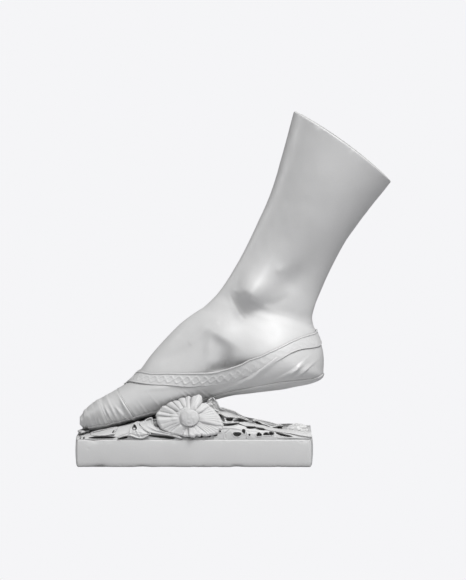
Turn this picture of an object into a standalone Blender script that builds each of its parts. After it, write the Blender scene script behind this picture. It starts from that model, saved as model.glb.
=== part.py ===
"""A carved foot in a soft slipper, standing on a plinth strewn with daisies and leaves.

Metres, +Z up. +X runs from the toes to the heel, -Y is the inner side of this right foot, and the
origin is the centre of the plinth's underside. Every carved piece is its own solid.
"""

import math

import bmesh
import bpy
import numpy as np
from mathutils import Vector
from mathutils.bvhtree import BVHTree

# grey, roughness and metallic value of each finish
STONE = (0.62, 0.45, 0.0)
SKIN = (0.62, 0.42, 0.0)
SLIPPER = (0.64, 0.40, 0.0)
FLOWER = (0.66, 0.45, 0.0)
STEEL = (0.55, 0.35, 1.0)

# Driving dimensions
PLINTH_LENGTH = 0.224
PLINTH_BOW = 0.002  # how far each end face swells beyond the corners
PLINTH_DEPTH = 0.110
PLINTH_HEIGHT = 0.026
PLINTH_ARRIS = 0.0008
GAP = 0.0004  # between pieces that touch
LEATHER = 0.0016  # slipper upper
SOLE = 0.0026
TRIM = 0.0012
CORD_RADIUS = 0.0008
FOOT_Y = 0.003  # the foot stands this far back from the plinth's middle
SKIN_SINK = 0.0034  # how far the foot lies inside the slipper's outer face
PETAL = 0.0016
LEAF = 0.0020

# The foot as sections from the cut of the leg to the toes. Each is a loop through a front and a back
# point of the side elevation: (front x, z), (back x, z), inner and outer half width, where the loop is
# widest from front to back, and the squareness of its front and back halves (2 is an ellipse).
SECTIONS = (
    ((0.0958, 0.3378), (0.1889, 0.2704), 0.0520, 0.0360, 0.50, 2.10, 2.30),
    ((0.0855, 0.3000), (0.1645, 0.2408), 0.0455, 0.0350, 0.50, 2.00, 2.20),
    ((0.0740, 0.2610), (0.1457, 0.2146), 0.0385, 0.0335, 0.50, 2.00, 2.10),
    ((0.0600, 0.2290), (0.1315, 0.1895), 0.0310, 0.0318, 0.49, 2.00, 1.95),
    ((0.0455, 0.1990), (0.1205, 0.1645), 0.0258, 0.0298, 0.47, 2.00, 1.85),
    ((0.0320, 0.1760), (0.1138, 0.1440), 0.0236, 0.0290, 0.48, 2.00, 1.80),
    ((0.0220, 0.1635), (0.1142, 0.1330), 0.0238, 0.0288, 0.50, 2.00, 1.82),
    ((0.0140, 0.1560), (0.1185, 0.1230), 0.0290, 0.0290, 0.53, 2.00, 1.95),
    ((0.0070, 0.1500), (0.1230, 0.1080), 0.0350, 0.0292, 0.57, 2.00, 2.10),
    ((0.0008, 0.1457), (0.1243, 0.0930), 0.0402, 0.0295, 0.60, 2.00, 2.20),
    ((-0.0060, 0.1408), (0.1195, 0.0830), 0.0425, 0.0300, 0.62, 2.00, 2.30),
    ((-0.0140, 0.1345), (0.0930, 0.0752), 0.0425, 0.0318, 0.64, 2.00, 2.35),
    ((-0.0230, 0.1260), (0.0632, 0.0708), 0.0410, 0.0350, 0.65, 2.00, 2.50),
    ((-0.0330, 0.1152), (0.0360, 0.0670), 0.0392, 0.0390, 0.64, 2.00, 2.50),
    ((-0.0435, 0.1025), (0.0130, 0.0605), 0.0385, 0.0436, 0.62, 2.05, 2.50),
    ((-0.0535, 0.0900), (-0.0120, 0.0540), 0.0385, 0.0460, 0.58, 2.10, 2.50),
    ((-0.0635, 0.0795), (-0.0360, 0.0485), 0.0380, 0.0450, 0.55, 2.20, 2.40),
    ((-0.0780, 0.0700), (-0.0560, 0.0428), 0.0360, 0.0420, 0.53, 2.20, 2.30),
    ((-0.0915, 0.0622), (-0.0750, 0.0375), 0.0315, 0.0355, 0.52, 2.20, 2.20),
    ((-0.1030, 0.0543), (-0.0925, 0.0338), 0.0230, 0.0250, 0.50, 2.10, 2.10),
    ((-0.1098, 0.0435), (-0.1050, 0.0330), 0.0095, 0.0100, 0.50, 2.00, 2.00),
)
TOE_TIP = (-0.1102, FOOT_Y, 0.0366)
SEAM_SECTION = 16.9  # the seam between the toe cap and the rest of the upper
SEAM_HALF_GAP = 0.055  # of a section, each side of the seam's cord

# Side elevation of the slipper's edges, (x, z) from the back of the heel to the front.
COLLAR_TOP = (
    (0.1170, 0.1273), (0.1016, 0.1212), (0.0776, 0.1108), (0.0584, 0.1027), (0.0440, 0.0965),
    (0.0296, 0.0914), (0.0150, 0.0883), (-0.0040, 0.0876), (-0.0232, 0.0876), (-0.0424, 0.0868),
    (-0.0560, 0.0860), (-0.0592, 0.0866),
)
COLLAR_FOOT = (
    (0.1212, 0.1165), (0.1016, 0.1112), (0.0824, 0.1025), (0.0651, 0.0933), (0.0488, 0.0853),
    (0.0296, 0.0790), (0.0056, 0.0765), (-0.0232, 0.0768), (-0.0424, 0.0776), (-0.0560, 0.0785),
    (-0.0650, 0.0779), (-0.0688, 0.0780),
)
SOLE_EDGE = (
    (0.1225, 0.0865), (0.0900, 0.0812), (0.0600, 0.0765), (0.0350, 0.0715), (0.0120, 0.0645),
    (-0.0140, 0.0575), (-0.0400, 0.0510), (-0.0600, 0.0455), (-0.0800, 0.0400), (-0.0960, 0.0365),
)

# The bed of ground, as heights above the plinth at even steps along X, and how it falls off in Y.
GROUND_HALF = (0.1100, 0.0515)
GROUND_CELLS = (36, 17)
CREST = (0.0015, 0.0090, 0.0160, 0.0205, 0.0240, 0.0250, 0.0150, 0.0105, 0.0050)

# Fixings that hold the foot to the plinth.
ROD_PLACE, ROD_RADIUS, ROD_SPAN = (-0.025, 0.004), 0.004, (0.0025, 0.0880)
DOWEL_PLACE, DOWEL_RADIUS, DOWEL_SPAN = (-0.072, 0.003), 0.003, (0.0120, 0.0540)
HOLE_CLEARANCE = 0.0003
RECESS_RADIUS, RECESS_DEPTH = 0.0115, 0.0105
WASHER_RADIUS, WASHER_THICKNESS = 0.0090, 0.0016
NUT_ACROSS_CORNERS, NUT_HEIGHT = 0.0150, 0.0055

# name: centre, tilt from +Z towards -Y, petals, petal reach up, down and sideways, disc radius, and how
# far the upper and the lower petals curl out of the flower's plane
DAISIES = {
    "daisy_front": (
        (-0.0030, -0.0405, 0.0460), 57, 20, (0.0205, 0.0205, 0.0315), 0.0098, (0.009, -0.001),
    ),
    "daisy_back": (
        (-0.0200, 0.0455, 0.0395), -52, 20, (0.0130, 0.0140, 0.0230), 0.0065, (0.002, -0.001),
    ),
    "daisy_heel": (
        (0.0985, -0.0130, 0.0375), 45, 14, (0.0090, 0.0090, 0.0110), 0.0042, (-0.004, -0.004),
    ),
}

# name: stalk end, bend and tip in plan, half width, height above the ground at stalk and tip, cupping
LEAVES = {
    "leaf_toe_flat": (
        (-0.0720, -0.0400), (-0.0890, -0.0340), (-0.1060, -0.0420), 0.0075, 0.0025, 0.0020, 0.0020,
    ),
    "leaf_front_lobed": (
        (-0.0575, -0.0300), (-0.0580, -0.0420), (-0.0600, -0.0520), 0.0108, 0.0035, 0.0012, 0.0015,
    ),
    "leaf_front_blade": (
        (-0.0420, -0.0330), (-0.0450, -0.0460), (-0.0360, -0.0525), 0.0036, 0.0060, 0.0010, 0.0010,
    ),
    "leaf_ball_upright": (
        (0.0330, -0.0330), (0.0280, -0.0240), (0.0230, -0.0140), 0.0070, 0.0050, 0.0080, 0.0015,
    ),
    "leaf_front_long": (
        (0.0300, -0.0440), (0.0650, -0.0370), (0.1040, -0.0470), 0.0065, 0.0030, 0.0015, 0.0020,
    ),
    "leaf_front_scalloped": (
        (0.0500, -0.0270), (0.0750, -0.0230), (0.1030, -0.0310), 0.0060, 0.0030, 0.0015, 0.0020,
    ),
    "leaf_front_end": (
        (0.0310, -0.0160), (0.0580, -0.0090), (0.0820, -0.0150), 0.0065, 0.0035, 0.0015, 0.0020,
    ),
    "leaf_crest": (
        (0.0300, 0.0010), (0.0520, 0.0060), (0.0780, 0.0030), 0.0075, 0.0050, 0.0030, 0.0025,
    ),
    "leaf_back_crest": (
        (0.0300, 0.0190), (0.0500, 0.0230), (0.0730, 0.0190), 0.0070, 0.0050, 0.0030, 0.0020,
    ),
    "leaf_back_long": (
        (0.0250, 0.0400), (0.0550, 0.0370), (0.0850, 0.0440), 0.0065, 0.0030, 0.0015, 0.0020,
    ),
    "leaf_back_lobed": (
        (-0.0610, 0.0380), (-0.0640, 0.0450), (-0.0660, 0.0540), 0.0110, 0.0030, 0.0012, 0.0015,
    ),
    "leaf_back_toe": (
        (-0.0800, 0.0430), (-0.0940, 0.0380), (-0.1070, 0.0430), 0.0070, 0.0022, 0.0020, 0.0020,
    ),
    "leaf_toe_end": (
        (-0.1075, -0.0240), (-0.1085, -0.0060), (-0.1070, 0.0160), 0.0025, 0.0012, 0.0012, 0.0005,
    ),
}


def spline(table, u):
    """Catmull-Rom curve through the rows of a table, at the row numbers u."""
    u = np.clip(np.asarray(u, float), 0, len(table) - 1)
    row = np.minimum(u.astype(int), len(table) - 2)
    t = (u - row)[..., None]
    padded = np.vstack([2 * table[0] - table[1], table, 2 * table[-1] - table[-2]])
    p0, p1, p2, p3 = (padded[row + k] for k in range(4))
    return 0.5 * (
        2 * p1
        + (p2 - p0) * t
        + (2 * p0 - 5 * p1 + 4 * p2 - p3) * t**2
        + (3 * p1 - p0 - 3 * p2 + p3) * t**3
    )


SECTION_TABLE = np.array([[*f, *b, *rest] for f, b, *rest in SECTIONS])


def body(u, v):
    """Points of the foot's outer face at section u and angle v, which is 0 in front and pi behind."""
    fx, fz, bx, bz, inner, outer, widest, front, back = np.moveaxis(spline(SECTION_TABLE, u), -1, 0)
    c, s = np.cos(v), np.sin(v)
    power = np.where(c > 0, front, back)
    reach = (np.abs(c) ** power + np.abs(s) ** power) ** (-1 / power)
    along = widest - np.where(c > 0, widest, 1 - widest) * reach * c
    y = FOOT_Y - reach * s * np.where(s > 0, inner, outer)
    return np.stack([fx + (bx - fx) * along, y, fz + (bz - fz) * along], -1)


def offset_body(u, v, distance):
    """The same points moved out along the surface's normal."""
    step = 1e-3
    u = np.clip(u, step, len(SECTIONS) - 1 - step)
    along = body(u + step, v) - body(u - step, v)
    around = body(u, v + step) - body(u, v - step)
    normal = np.cross(along, around)
    normal /= np.linalg.norm(normal, axis=-1, keepdims=True)
    return body(u, v) + normal * np.asarray(distance)[..., None]


def place_on_body(outline, samples=41):
    """Sections and angles of a smooth line whose side elevation, on the inner half, is this outline."""
    sections, angles = np.meshgrid(
        np.linspace(0, len(SECTIONS) - 1, 1601), np.linspace(0, math.pi, 361), indexing="ij"
    )
    faces = body(sections, angles)[..., (0, 2)]
    found = [np.argmin(((faces - point) ** 2).sum(-1)) for point in np.array(outline)]
    knots = np.stack([sections.ravel()[found], angles.ravel()[found]], -1)
    return spline(knots, np.linspace(0, len(outline) - 1, samples)).T


def collection(name, shown=True):
    made = bpy.data.collections.new(name)
    bpy.context.scene.collection.children.link(made)
    made.hide_render = not shown
    return made


def material(name, grey, roughness, metallic):
    made = bpy.data.materials.new(name)
    made.use_nodes = True
    shader = made.node_tree.nodes["Principled BSDF"]
    shader.inputs["Base Color"].default_value = (grey, grey, grey, 1)
    shader.inputs["Roughness"].default_value = roughness
    shader.inputs["Metallic"].default_value = metallic
    return made


def add(name, data, finish, home):
    """A new object of this mesh or curve, in a collection."""
    made = bpy.data.objects.new(name, data)
    data.materials.append(material(name, *finish))
    home.objects.link(made)
    return made


def loft(name, rows, finish, home, closed=False, cap_first=False, tip=None):
    """A mesh through rows of points. Closed rows are loops; a tip closes the last one to a point."""
    rings, columns, _ = rows.shape
    points = rows.reshape(-1, 3).tolist()
    spans = columns if closed else columns - 1
    faces = [
        (i * columns + j, (i + 1) * columns + j,
         (i + 1) * columns + (j + 1) % columns, i * columns + (j + 1) % columns)
        for i in range(rings - 1)
        for j in range(spans)
    ]
    if cap_first:
        faces.append(tuple(range(columns)))
    if tip is not None:
        points.append(tip)
        last = (rings - 1) * columns
        faces += [(last + j, len(points) - 1, last + (j + 1) % columns) for j in range(columns)]
    mesh = bpy.data.meshes.new(name)
    mesh.from_pydata(points, [], faces)
    work = bmesh.new()
    work.from_mesh(mesh)
    bmesh.ops.remove_doubles(work, verts=work.verts, dist=1e-5)
    work.to_mesh(mesh)
    work.free()
    mesh.shade_smooth()
    return add(name, mesh, finish, home)


def thicken(obj, thickness, outwards):
    """Solidify on one side of a sheet whose normals point out."""
    shell = obj.modifiers.new("thickness", "SOLIDIFY")
    shell.thickness = thickness
    shell.offset = 1 if outwards else -1
    shell.use_even_offset = False
    return obj


def tube(name, points, radius, finish, home, cyclic=True):
    """A cord as a poly curve with a round bevel."""
    curve = bpy.data.curves.new(name, "CURVE")
    curve.dimensions = "3D"
    curve.bevel_depth = radius
    curve.bevel_resolution = 0
    curve.use_fill_caps = not cyclic
    line = curve.splines.new("POLY")
    line.points.add(len(points) - 1)
    for point, place in zip(line.points, points):
        point.co = (*place, 1)
    line.use_cyclic_u = cyclic
    return add(name, curve, finish, home)


def cylinder(name, place, radius, low, high, finish, home, sides=24):
    """An upright cylinder between two heights."""
    bpy.ops.mesh.primitive_cylinder_add(
        vertices=sides, radius=radius, depth=high - low, location=(*place, (low + high) / 2)
    )
    made = bpy.context.object
    made.name = name
    made.data.materials.append(material(name, *finish))
    for old in made.users_collection:
        old.objects.unlink(made)
    home.objects.link(made)
    return made


def cut(obj, cutters):
    for cutter in cutters:
        hole = obj.modifiers.new(cutter.name, "BOOLEAN")
        hole.operation = "DIFFERENCE"
        hole.object = cutter


def make_plinth(home):
    """A block with softened arrises, whose two ends swell a little."""
    bpy.ops.mesh.primitive_cube_add(size=1, location=(0, 0, PLINTH_HEIGHT / 2))
    plinth = bpy.context.object
    plinth.name = "plinth"
    plinth.scale = (PLINTH_LENGTH, PLINTH_DEPTH, PLINTH_HEIGHT)
    bpy.ops.object.transform_apply(location=True, rotation=False, scale=True)
    work = bmesh.new()
    work.from_mesh(plinth.data)
    across = [
        e for e in work.edges
        if abs(e.verts[0].co.y - e.verts[1].co.y) > PLINTH_DEPTH / 2
    ]
    bmesh.ops.subdivide_edges(work, edges=across, cuts=7, use_grid_fill=True)
    for vert in work.verts:
        swell = 1 - (2 * vert.co.y / PLINTH_DEPTH) ** 2
        vert.co.x += math.copysign(PLINTH_BOW * swell, vert.co.x)
    work.to_mesh(plinth.data)
    work.free()
    for old in plinth.users_collection:
        old.objects.unlink(plinth)
    home.objects.link(plinth)
    plinth.data.materials.append(material("plinth", *STONE))
    edge = plinth.modifiers.new("arris", "BEVEL")
    edge.width = PLINTH_ARRIS
    edge.segments = 1
    edge.limit_method = "ANGLE"
    return plinth


def smoothstep(x):
    x = np.clip(x, 0, 1)
    return x * x * (3 - 2 * x)


def make_foot(collar, home):
    """The bare leg and foot. Inside the slipper it lies under the leather."""
    stretches = ((0, 5.2, 8), (5.8, 12.8, 15), (13.2, 16, 11), (16.6, 19.5, 6))
    sections = np.concatenate([np.linspace(*stretch) for stretch in stretches])
    u, v = np.meshgrid(sections, np.linspace(0, 2 * math.pi, 24, endpoint=False), indexing="ij")
    folded = np.minimum(v, 2 * math.pi - v)
    edge = np.interp(u + 0.2, *collar, left=2 * math.pi, right=-math.pi)
    sink = SKIN_SINK * smoothstep((folded - edge + 0.6) / 0.45)
    tip = (TOE_TIP[0] + 2 * SKIN_SINK, TOE_TIP[1], TOE_TIP[2])
    return loft(
        "leg_and_foot", offset_body(u, v, -sink), SKIN, home, closed=True, cap_first=True, tip=tip
    )


def make_upper(collar, home):
    """The slipper's upper, from the heel to the toe cap's seam, open along its collar."""
    sections = np.concatenate([
        np.linspace(collar[0][0] + 0.25, 12.6, 13), np.linspace(13, SEAM_SECTION - SEAM_HALF_GAP, 14)
    ])
    start = np.interp(sections, *collar, right=0.0)
    share = np.linspace(0, 1, 21)
    v = start[:, None] + (2 * math.pi - 2 * start[:, None]) * share
    u = np.broadcast_to(sections[:, None], v.shape)
    upper = loft("slipper_upper", body(u, v), SLIPPER, home)
    return thicken(upper, LEATHER, outwards=False)


def make_toe_cap(home):
    sections = np.linspace(SEAM_SECTION + SEAM_HALF_GAP, len(SECTIONS) - 1.05, 8)
    u, v = np.meshgrid(sections, np.linspace(0, 2 * math.pi, 22, endpoint=False), indexing="ij")
    cap = loft("slipper_toe_cap", body(u, v), SLIPPER, home, closed=True, tip=TOE_TIP)
    return thicken(cap, LEATHER, outwards=False)


def make_seam_cord(home):
    """The ridge between upper and toe cap, lying in the gap between them."""
    v = np.linspace(0, 2 * math.pi, 22, endpoint=False)
    points = offset_body(np.full_like(v, SEAM_SECTION), v, np.full_like(v, -CORD_RADIUS))
    return tube("toe_seam_cord", points, CORD_RADIUS, SLIPPER, home)


def make_sole(home):
    edge_u, edge_v = place_on_body(SOLE_EDGE)
    sections = np.linspace(edge_u[0] + 0.1, edge_u[-1], 20)
    start = np.interp(sections, edge_u, edge_v)
    share = np.linspace(0, 1, 8)
    v = start[:, None] + (2 * math.pi - 2 * start[:, None]) * share
    u = np.broadcast_to(sections[:, None], v.shape)
    sole = loft("slipper_sole", offset_body(u, v, np.full(v.shape, 2 * GAP)), SLIPPER, home)
    return thicken(sole, SOLE, outwards=True)


def ring_on_body(outline, rise, distance):
    """A closed line round the foot: along the inner side to the front, then back along the outer."""
    u, v = place_on_body([(x, z + rise) for x, z in outline])
    v[0], v[-1] = math.pi, 0.0
    u = np.concatenate([u, u[-2:0:-1]])
    v = np.concatenate([v, 2 * math.pi - v[-2:0:-1]])
    return offset_body(u, v, np.full_like(v, distance))


def make_trim(home):
    """The band round the slipper's mouth, with a cord along each edge."""
    middle = (np.array(COLLAR_TOP) + COLLAR_FOOT) / 2
    rows = [ring_on_body(outline, 0, 1.5 * GAP) for outline in (COLLAR_FOOT, middle, COLLAR_TOP)]
    band = loft("trim_band", np.stack(rows), SLIPPER, home, closed=True)
    thicken(band, TRIM, outwards=True)
    tube("trim_top_cord", ring_on_body(COLLAR_TOP, 0.0014, 2 * GAP), CORD_RADIUS, SLIPPER, home)
    tube("trim_foot_cord", ring_on_body(COLLAR_FOOT, -0.0014, 3 * GAP), CORD_RADIUS, SLIPPER, home)


def make_daisy(name, centre, tilt, petals, reaches, disc, curls, home):
    """A ring of petals round a domed disc, both placed by the flower's tilt."""
    (up, down, side), (curl_up, curl_down) = reaches, curls
    around = np.linspace(0, 2 * math.pi, 2 * petals, endpoint=False)
    reach = np.where(np.cos(around) > 0, up, down)
    rim = 1 / np.hypot(np.cos(around) / reach, np.sin(around) / side)
    rim *= np.where(np.arange(2 * petals) % 2, 0.90, 1.0)
    curl = np.where(np.cos(around) > 0, curl_up, curl_down) * np.abs(np.cos(around))
    rows = []
    for share in (1.0, 0.75, 0.45, 0.0):
        radius = disc + GAP + (rim - disc - GAP) * share
        height = curl * share**2
        rows.append(np.stack([radius * np.sin(around), radius * np.cos(around), height], -1))
    ring = loft(name + "_petals", np.stack(rows), FLOWER, home, closed=True)
    thicken(ring, PETAL, outwards=False)
    profile = [(0, 0, disc * 0.62), (disc * 0.5, 0, disc * 0.53), (disc * 0.87, 0, disc * 0.28),
               (disc, 0, 0), (disc * 0.8, 0, -PETAL), (0, 0, -PETAL)]
    mesh = bpy.data.meshes.new(name + "_disc")
    mesh.from_pydata(profile, [(i, i + 1) for i in range(len(profile) - 1)], [])
    dome = add(name + "_disc", mesh, FLOWER, home)
    turned = dome.modifiers.new("turned", "SCREW")
    turned.steps = turned.render_steps = 16
    turned.use_merge_vertices = True
    turned.merge_threshold = 1e-5
    for piece in (ring, dome):
        piece.location = centre
        piece.rotation_euler.x = math.radians(tilt)


def ground_height(x, y):
    """How far the bed of ground rises above the plinth, before the foot and flowers press into it."""
    steps = (np.asarray(x) / GROUND_HALF[0] + 1) / 2 * (len(CREST) - 1)
    crest = spline(np.array(CREST)[:, None], steps)[..., 0]
    across = np.clip(1 - np.abs(np.asarray(y) / GROUND_HALF[1]) ** 2.2, 0, 1) ** 0.8
    return 0.0008 + crest * across


def make_leaf(name, stalk, bend, tip, width, lift_stalk, lift_tip, cup, home):
    """A cupped leaf draped over the ground along a curved midrib."""
    s, t = np.meshgrid(np.linspace(0, 1, 8), np.linspace(-1, 1, 5), indexing="ij")
    ends = [np.array(p)[None, None] for p in (stalk, bend, tip)]
    weight = s[..., None]
    middle = (1 - weight) ** 2 * ends[0] + 2 * weight * (1 - weight) * ends[1] + weight**2 * ends[2]
    run = 2 * (1 - weight) * (ends[1] - ends[0]) + 2 * weight * (ends[2] - ends[1])
    run /= np.linalg.norm(run, axis=-1, keepdims=True)
    half = width * (0.12 + 0.88 * np.sin(math.pi * np.clip(s * 0.94 + 0.03, 0, 1)) ** 0.8)
    x = middle[..., 0] - run[..., 1] * half * t
    y = middle[..., 1] + run[..., 0] * half * t
    lift = lift_stalk + (lift_tip - lift_stalk) * s
    z = PLINTH_HEIGHT + ground_height(x, y) + lift + cup * t**2 * np.sin(math.pi * s)
    return thicken(loft(name, np.stack([x, y, z], -1), FLOWER, home), LEAF, outwards=True)


def make_ground(above, home):
    """A bed that rises under the instep and stays clear of everything that lies on it."""
    graph = bpy.context.evaluated_depsgraph_get()
    trees = [(BVHTree.FromObject(obj, graph), obj.matrix_world) for obj in above]
    x, y = np.meshgrid(
        np.linspace(-GROUND_HALF[0], GROUND_HALF[0], 2 * GROUND_CELLS[0] + 1),
        np.linspace(-GROUND_HALF[1], GROUND_HALF[1], 2 * GROUND_CELLS[1] + 1),
        indexing="ij",
    )
    ceiling = np.full(x.shape, 1.0)
    for index in np.ndindex(x.shape):
        start = Vector((x[index], y[index], PLINTH_HEIGHT))
        for tree, place in trees:
            back = place.inverted()
            hit = tree.ray_cast(back @ start, back.to_3x3() @ Vector((0, 0, 1)))[0]
            if hit is not None:
                ceiling[index] = min(ceiling[index], (place @ hit).z - 3 * GAP)
    padded = np.pad(ceiling, 2, mode="edge")
    columns, rows = x.shape
    ceiling = np.min([padded[i:i + columns, j:j + rows] for i in range(5) for j in range(5)], axis=0)
    x, y, ceiling = (grid[::2, ::2] for grid in (x, y, ceiling))
    foot = PLINTH_HEIGHT + GAP
    top = np.clip(PLINTH_HEIGHT + ground_height(x, y), foot + GAP, np.maximum(ceiling, foot + GAP))
    ground = loft("ground_bed", np.stack([x, y, top], -1), STONE, home)
    work = bmesh.new()
    work.from_mesh(ground.data)
    made = bmesh.ops.extrude_face_region(work, geom=list(work.faces))
    for vert in (v for v in made["geom"] if isinstance(v, bmesh.types.BMVert)):
        vert.co.z = foot
    bmesh.ops.recalc_face_normals(work, faces=work.faces)
    work.to_mesh(ground.data)
    work.free()
    return ground


def make_fixings(home):
    """A nut and washer in a recess under the plinth hold the rod, and a dowel stops the toe turning."""
    cylinder("anchor_rod", ROD_PLACE, ROD_RADIUS, *ROD_SPAN, STEEL, home)
    cylinder("toe_dowel", DOWEL_PLACE, DOWEL_RADIUS, *DOWEL_SPAN, STEEL, home, sides=16)
    washer_foot = RECESS_DEPTH - GAP - WASHER_THICKNESS
    washer = cylinder(
        "anchor_washer", ROD_PLACE, WASHER_RADIUS, washer_foot, RECESS_DEPTH - GAP, STEEL, home
    )
    nut_top = washer_foot - GAP
    nut = cylinder(
        "anchor_nut", ROD_PLACE, NUT_ACROSS_CORNERS / 2, nut_top - NUT_HEIGHT, nut_top, STEEL, home,
        sides=6,
    )
    return washer, nut


def main():
    for old in list(bpy.data.objects):
        bpy.data.objects.remove(old)
    home = collection("foot_sculpture")
    cutters = collection("cutters", shown=False)
    collar = place_on_body(COLLAR_TOP)
    plinth = make_plinth(home)
    foot = make_foot(collar, home)
    upper = make_upper(collar, home)
    toe_cap = make_toe_cap(home)
    make_seam_cord(home)
    sole = make_sole(home)
    make_trim(home)
    for name, facts in DAISIES.items():
        make_daisy(name, *facts, home)
    for name, facts in LEAVES.items():
        make_leaf(name, *facts, home)
    bpy.context.view_layer.update()
    names = ("leaf_", "daisy_", "slipper_sole", "slipper_toe", "slipper_upper")
    above = [obj for obj in home.objects if obj.name.startswith(names)]
    ground = make_ground(above, home)
    washer, nut = make_fixings(home)

    bore = cylinder(
        "rod_bore", ROD_PLACE, ROD_RADIUS + HOLE_CLEARANCE, -0.001, ROD_SPAN[1] + 0.001, STEEL, cutters
    )
    recess = cylinder(
        "nut_recess", ROD_PLACE, RECESS_RADIUS, -0.001, RECESS_DEPTH, STEEL, cutters, sides=32
    )
    toe_bore = cylinder(
        "dowel_bore", DOWEL_PLACE, DOWEL_RADIUS + HOLE_CLEARANCE,
        DOWEL_SPAN[0] - 0.001, DOWEL_SPAN[1] + 0.001, STEEL, cutters, sides=16,
    )
    for cutter in (bore, recess, toe_bore):
        cutter.hide_render = True
        cutter.display_type = "WIRE"
    cut(plinth, (bore, recess, toe_bore))
    cut(ground, (bore, toe_bore))
    cut(foot, (bore, toe_bore))
    cut(sole, (bore, toe_bore))
    cut(upper, (bore,))
    cut(toe_cap, (toe_bore,))
    cut(washer, (bore,))
    cut(nut, (bore,))


main()
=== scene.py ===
"""Looks of the carved foot: one pale stone, cut as skin, soft slipper, embossed trim, daisies and leaves."""

import math

import bmesh
import bpy
import numpy as np
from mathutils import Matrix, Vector
from mathutils.bvhtree import BVHTree


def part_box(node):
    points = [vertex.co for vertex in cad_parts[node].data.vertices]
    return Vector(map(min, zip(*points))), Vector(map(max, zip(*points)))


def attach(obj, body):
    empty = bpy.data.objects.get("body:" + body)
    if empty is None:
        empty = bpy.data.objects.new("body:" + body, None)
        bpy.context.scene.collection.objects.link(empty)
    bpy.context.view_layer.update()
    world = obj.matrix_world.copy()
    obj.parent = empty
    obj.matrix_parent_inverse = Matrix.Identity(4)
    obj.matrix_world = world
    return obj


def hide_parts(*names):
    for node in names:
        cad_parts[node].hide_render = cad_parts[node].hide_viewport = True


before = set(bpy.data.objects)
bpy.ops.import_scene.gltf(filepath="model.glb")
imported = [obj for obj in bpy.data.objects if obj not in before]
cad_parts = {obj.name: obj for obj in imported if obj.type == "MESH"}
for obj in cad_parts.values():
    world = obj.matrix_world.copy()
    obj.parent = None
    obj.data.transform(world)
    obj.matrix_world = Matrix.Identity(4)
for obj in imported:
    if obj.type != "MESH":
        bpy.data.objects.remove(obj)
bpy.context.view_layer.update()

MM = 0.001
TURN = 2 * math.pi
PER_RADIAN = 57.3  # degrees in a radian
FOOT_Y = 0.003  # the foot's middle plane
SKIN_SINK = 0.0034  # how far the skin drops under the slipper
LEATHER, SOLE_LEATHER, BLADE, PETAL = 0.0016, 0.0015, 0.0014, 0.0016  # thicknesses of the sheets
SEAM_SECTION = 16.9  # where along the sections the toe cap is sewn on
REPEAT = 0.0154  # length of one lozenge of the trim's pattern
HOLE_DEPTH, HOLE_RIM = 0.0068, 0.00045
CUT_DOME = 0.0042  # how far the sides of the leg's cut stand above its front and back corners
CUT_NORMAL = np.array([0.586, 0, 0.810])
PLINTH_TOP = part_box("plinth")[1][2]

# The foot as sections from the cut of the leg to the toes: (front x, z), (back x, z), inner and outer
# half width, where the loop is widest from front to back, squareness of its front and back halves.
SECTIONS = (
    ((0.0958, 0.3378), (0.1889, 0.2704), 0.0520, 0.0360, 0.50, 2.10, 2.30),
    ((0.0855, 0.3000), (0.1655, 0.2408), 0.0455, 0.0350, 0.50, 2.00, 2.20),
    ((0.0740, 0.2610), (0.1466, 0.2146), 0.0385, 0.0335, 0.50, 2.00, 2.10),
    ((0.0600, 0.2290), (0.1325, 0.1895), 0.0310, 0.0318, 0.49, 2.00, 1.95),
    ((0.0455, 0.1990), (0.1212, 0.1645), 0.0258, 0.0298, 0.47, 2.00, 1.85),
    ((0.0320, 0.1760), (0.1138, 0.1440), 0.0236, 0.0290, 0.48, 2.00, 1.80),
    ((0.0232, 0.1635), (0.1142, 0.1330), 0.0238, 0.0288, 0.50, 2.00, 1.82),
    ((0.0162, 0.1560), (0.1185, 0.1230), 0.0290, 0.0290, 0.53, 2.00, 1.95),
    ((0.0096, 0.1500), (0.1236, 0.1080), 0.0350, 0.0292, 0.57, 2.00, 2.10),
    ((0.0030, 0.1457), (0.1243, 0.0914), 0.0402, 0.0295, 0.60, 2.00, 2.20),
    ((-0.0041, 0.1408), (0.1203, 0.0804), 0.0425, 0.0300, 0.62, 2.00, 2.30),
    ((-0.0122, 0.1345), (0.0930, 0.0733), 0.0425, 0.0318, 0.64, 2.00, 2.35),
    ((-0.0208, 0.1260), (0.0632, 0.0692), 0.0410, 0.0350, 0.65, 2.00, 2.50),
    ((-0.0311, 0.1152), (0.0360, 0.0656), 0.0392, 0.0390, 0.64, 2.00, 2.50),
    ((-0.0421, 0.1025), (0.0130, 0.0595), 0.0385, 0.0436, 0.62, 2.05, 2.50),
    ((-0.0511, 0.0900), (-0.0120, 0.0528), 0.0385, 0.0460, 0.58, 2.10, 2.50),
    ((-0.0609, 0.0795), (-0.0360, 0.0470), 0.0380, 0.0450, 0.55, 2.20, 2.40),
    ((-0.0748, 0.0700), (-0.0560, 0.0408), 0.0360, 0.0420, 0.53, 2.20, 2.30),
    ((-0.0889, 0.0622), (-0.0750, 0.0347), 0.0315, 0.0355, 0.52, 2.20, 2.20),
    ((-0.1018, 0.0543), (-0.0925, 0.0309), 0.0230, 0.0250, 0.50, 2.10, 2.10),
    ((-0.1098, 0.0435), (-0.1050, 0.0306), 0.0095, 0.0100, 0.50, 2.00, 2.00),
)
TOE_TIP = (-0.1102, FOOT_Y, 0.0366)
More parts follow.
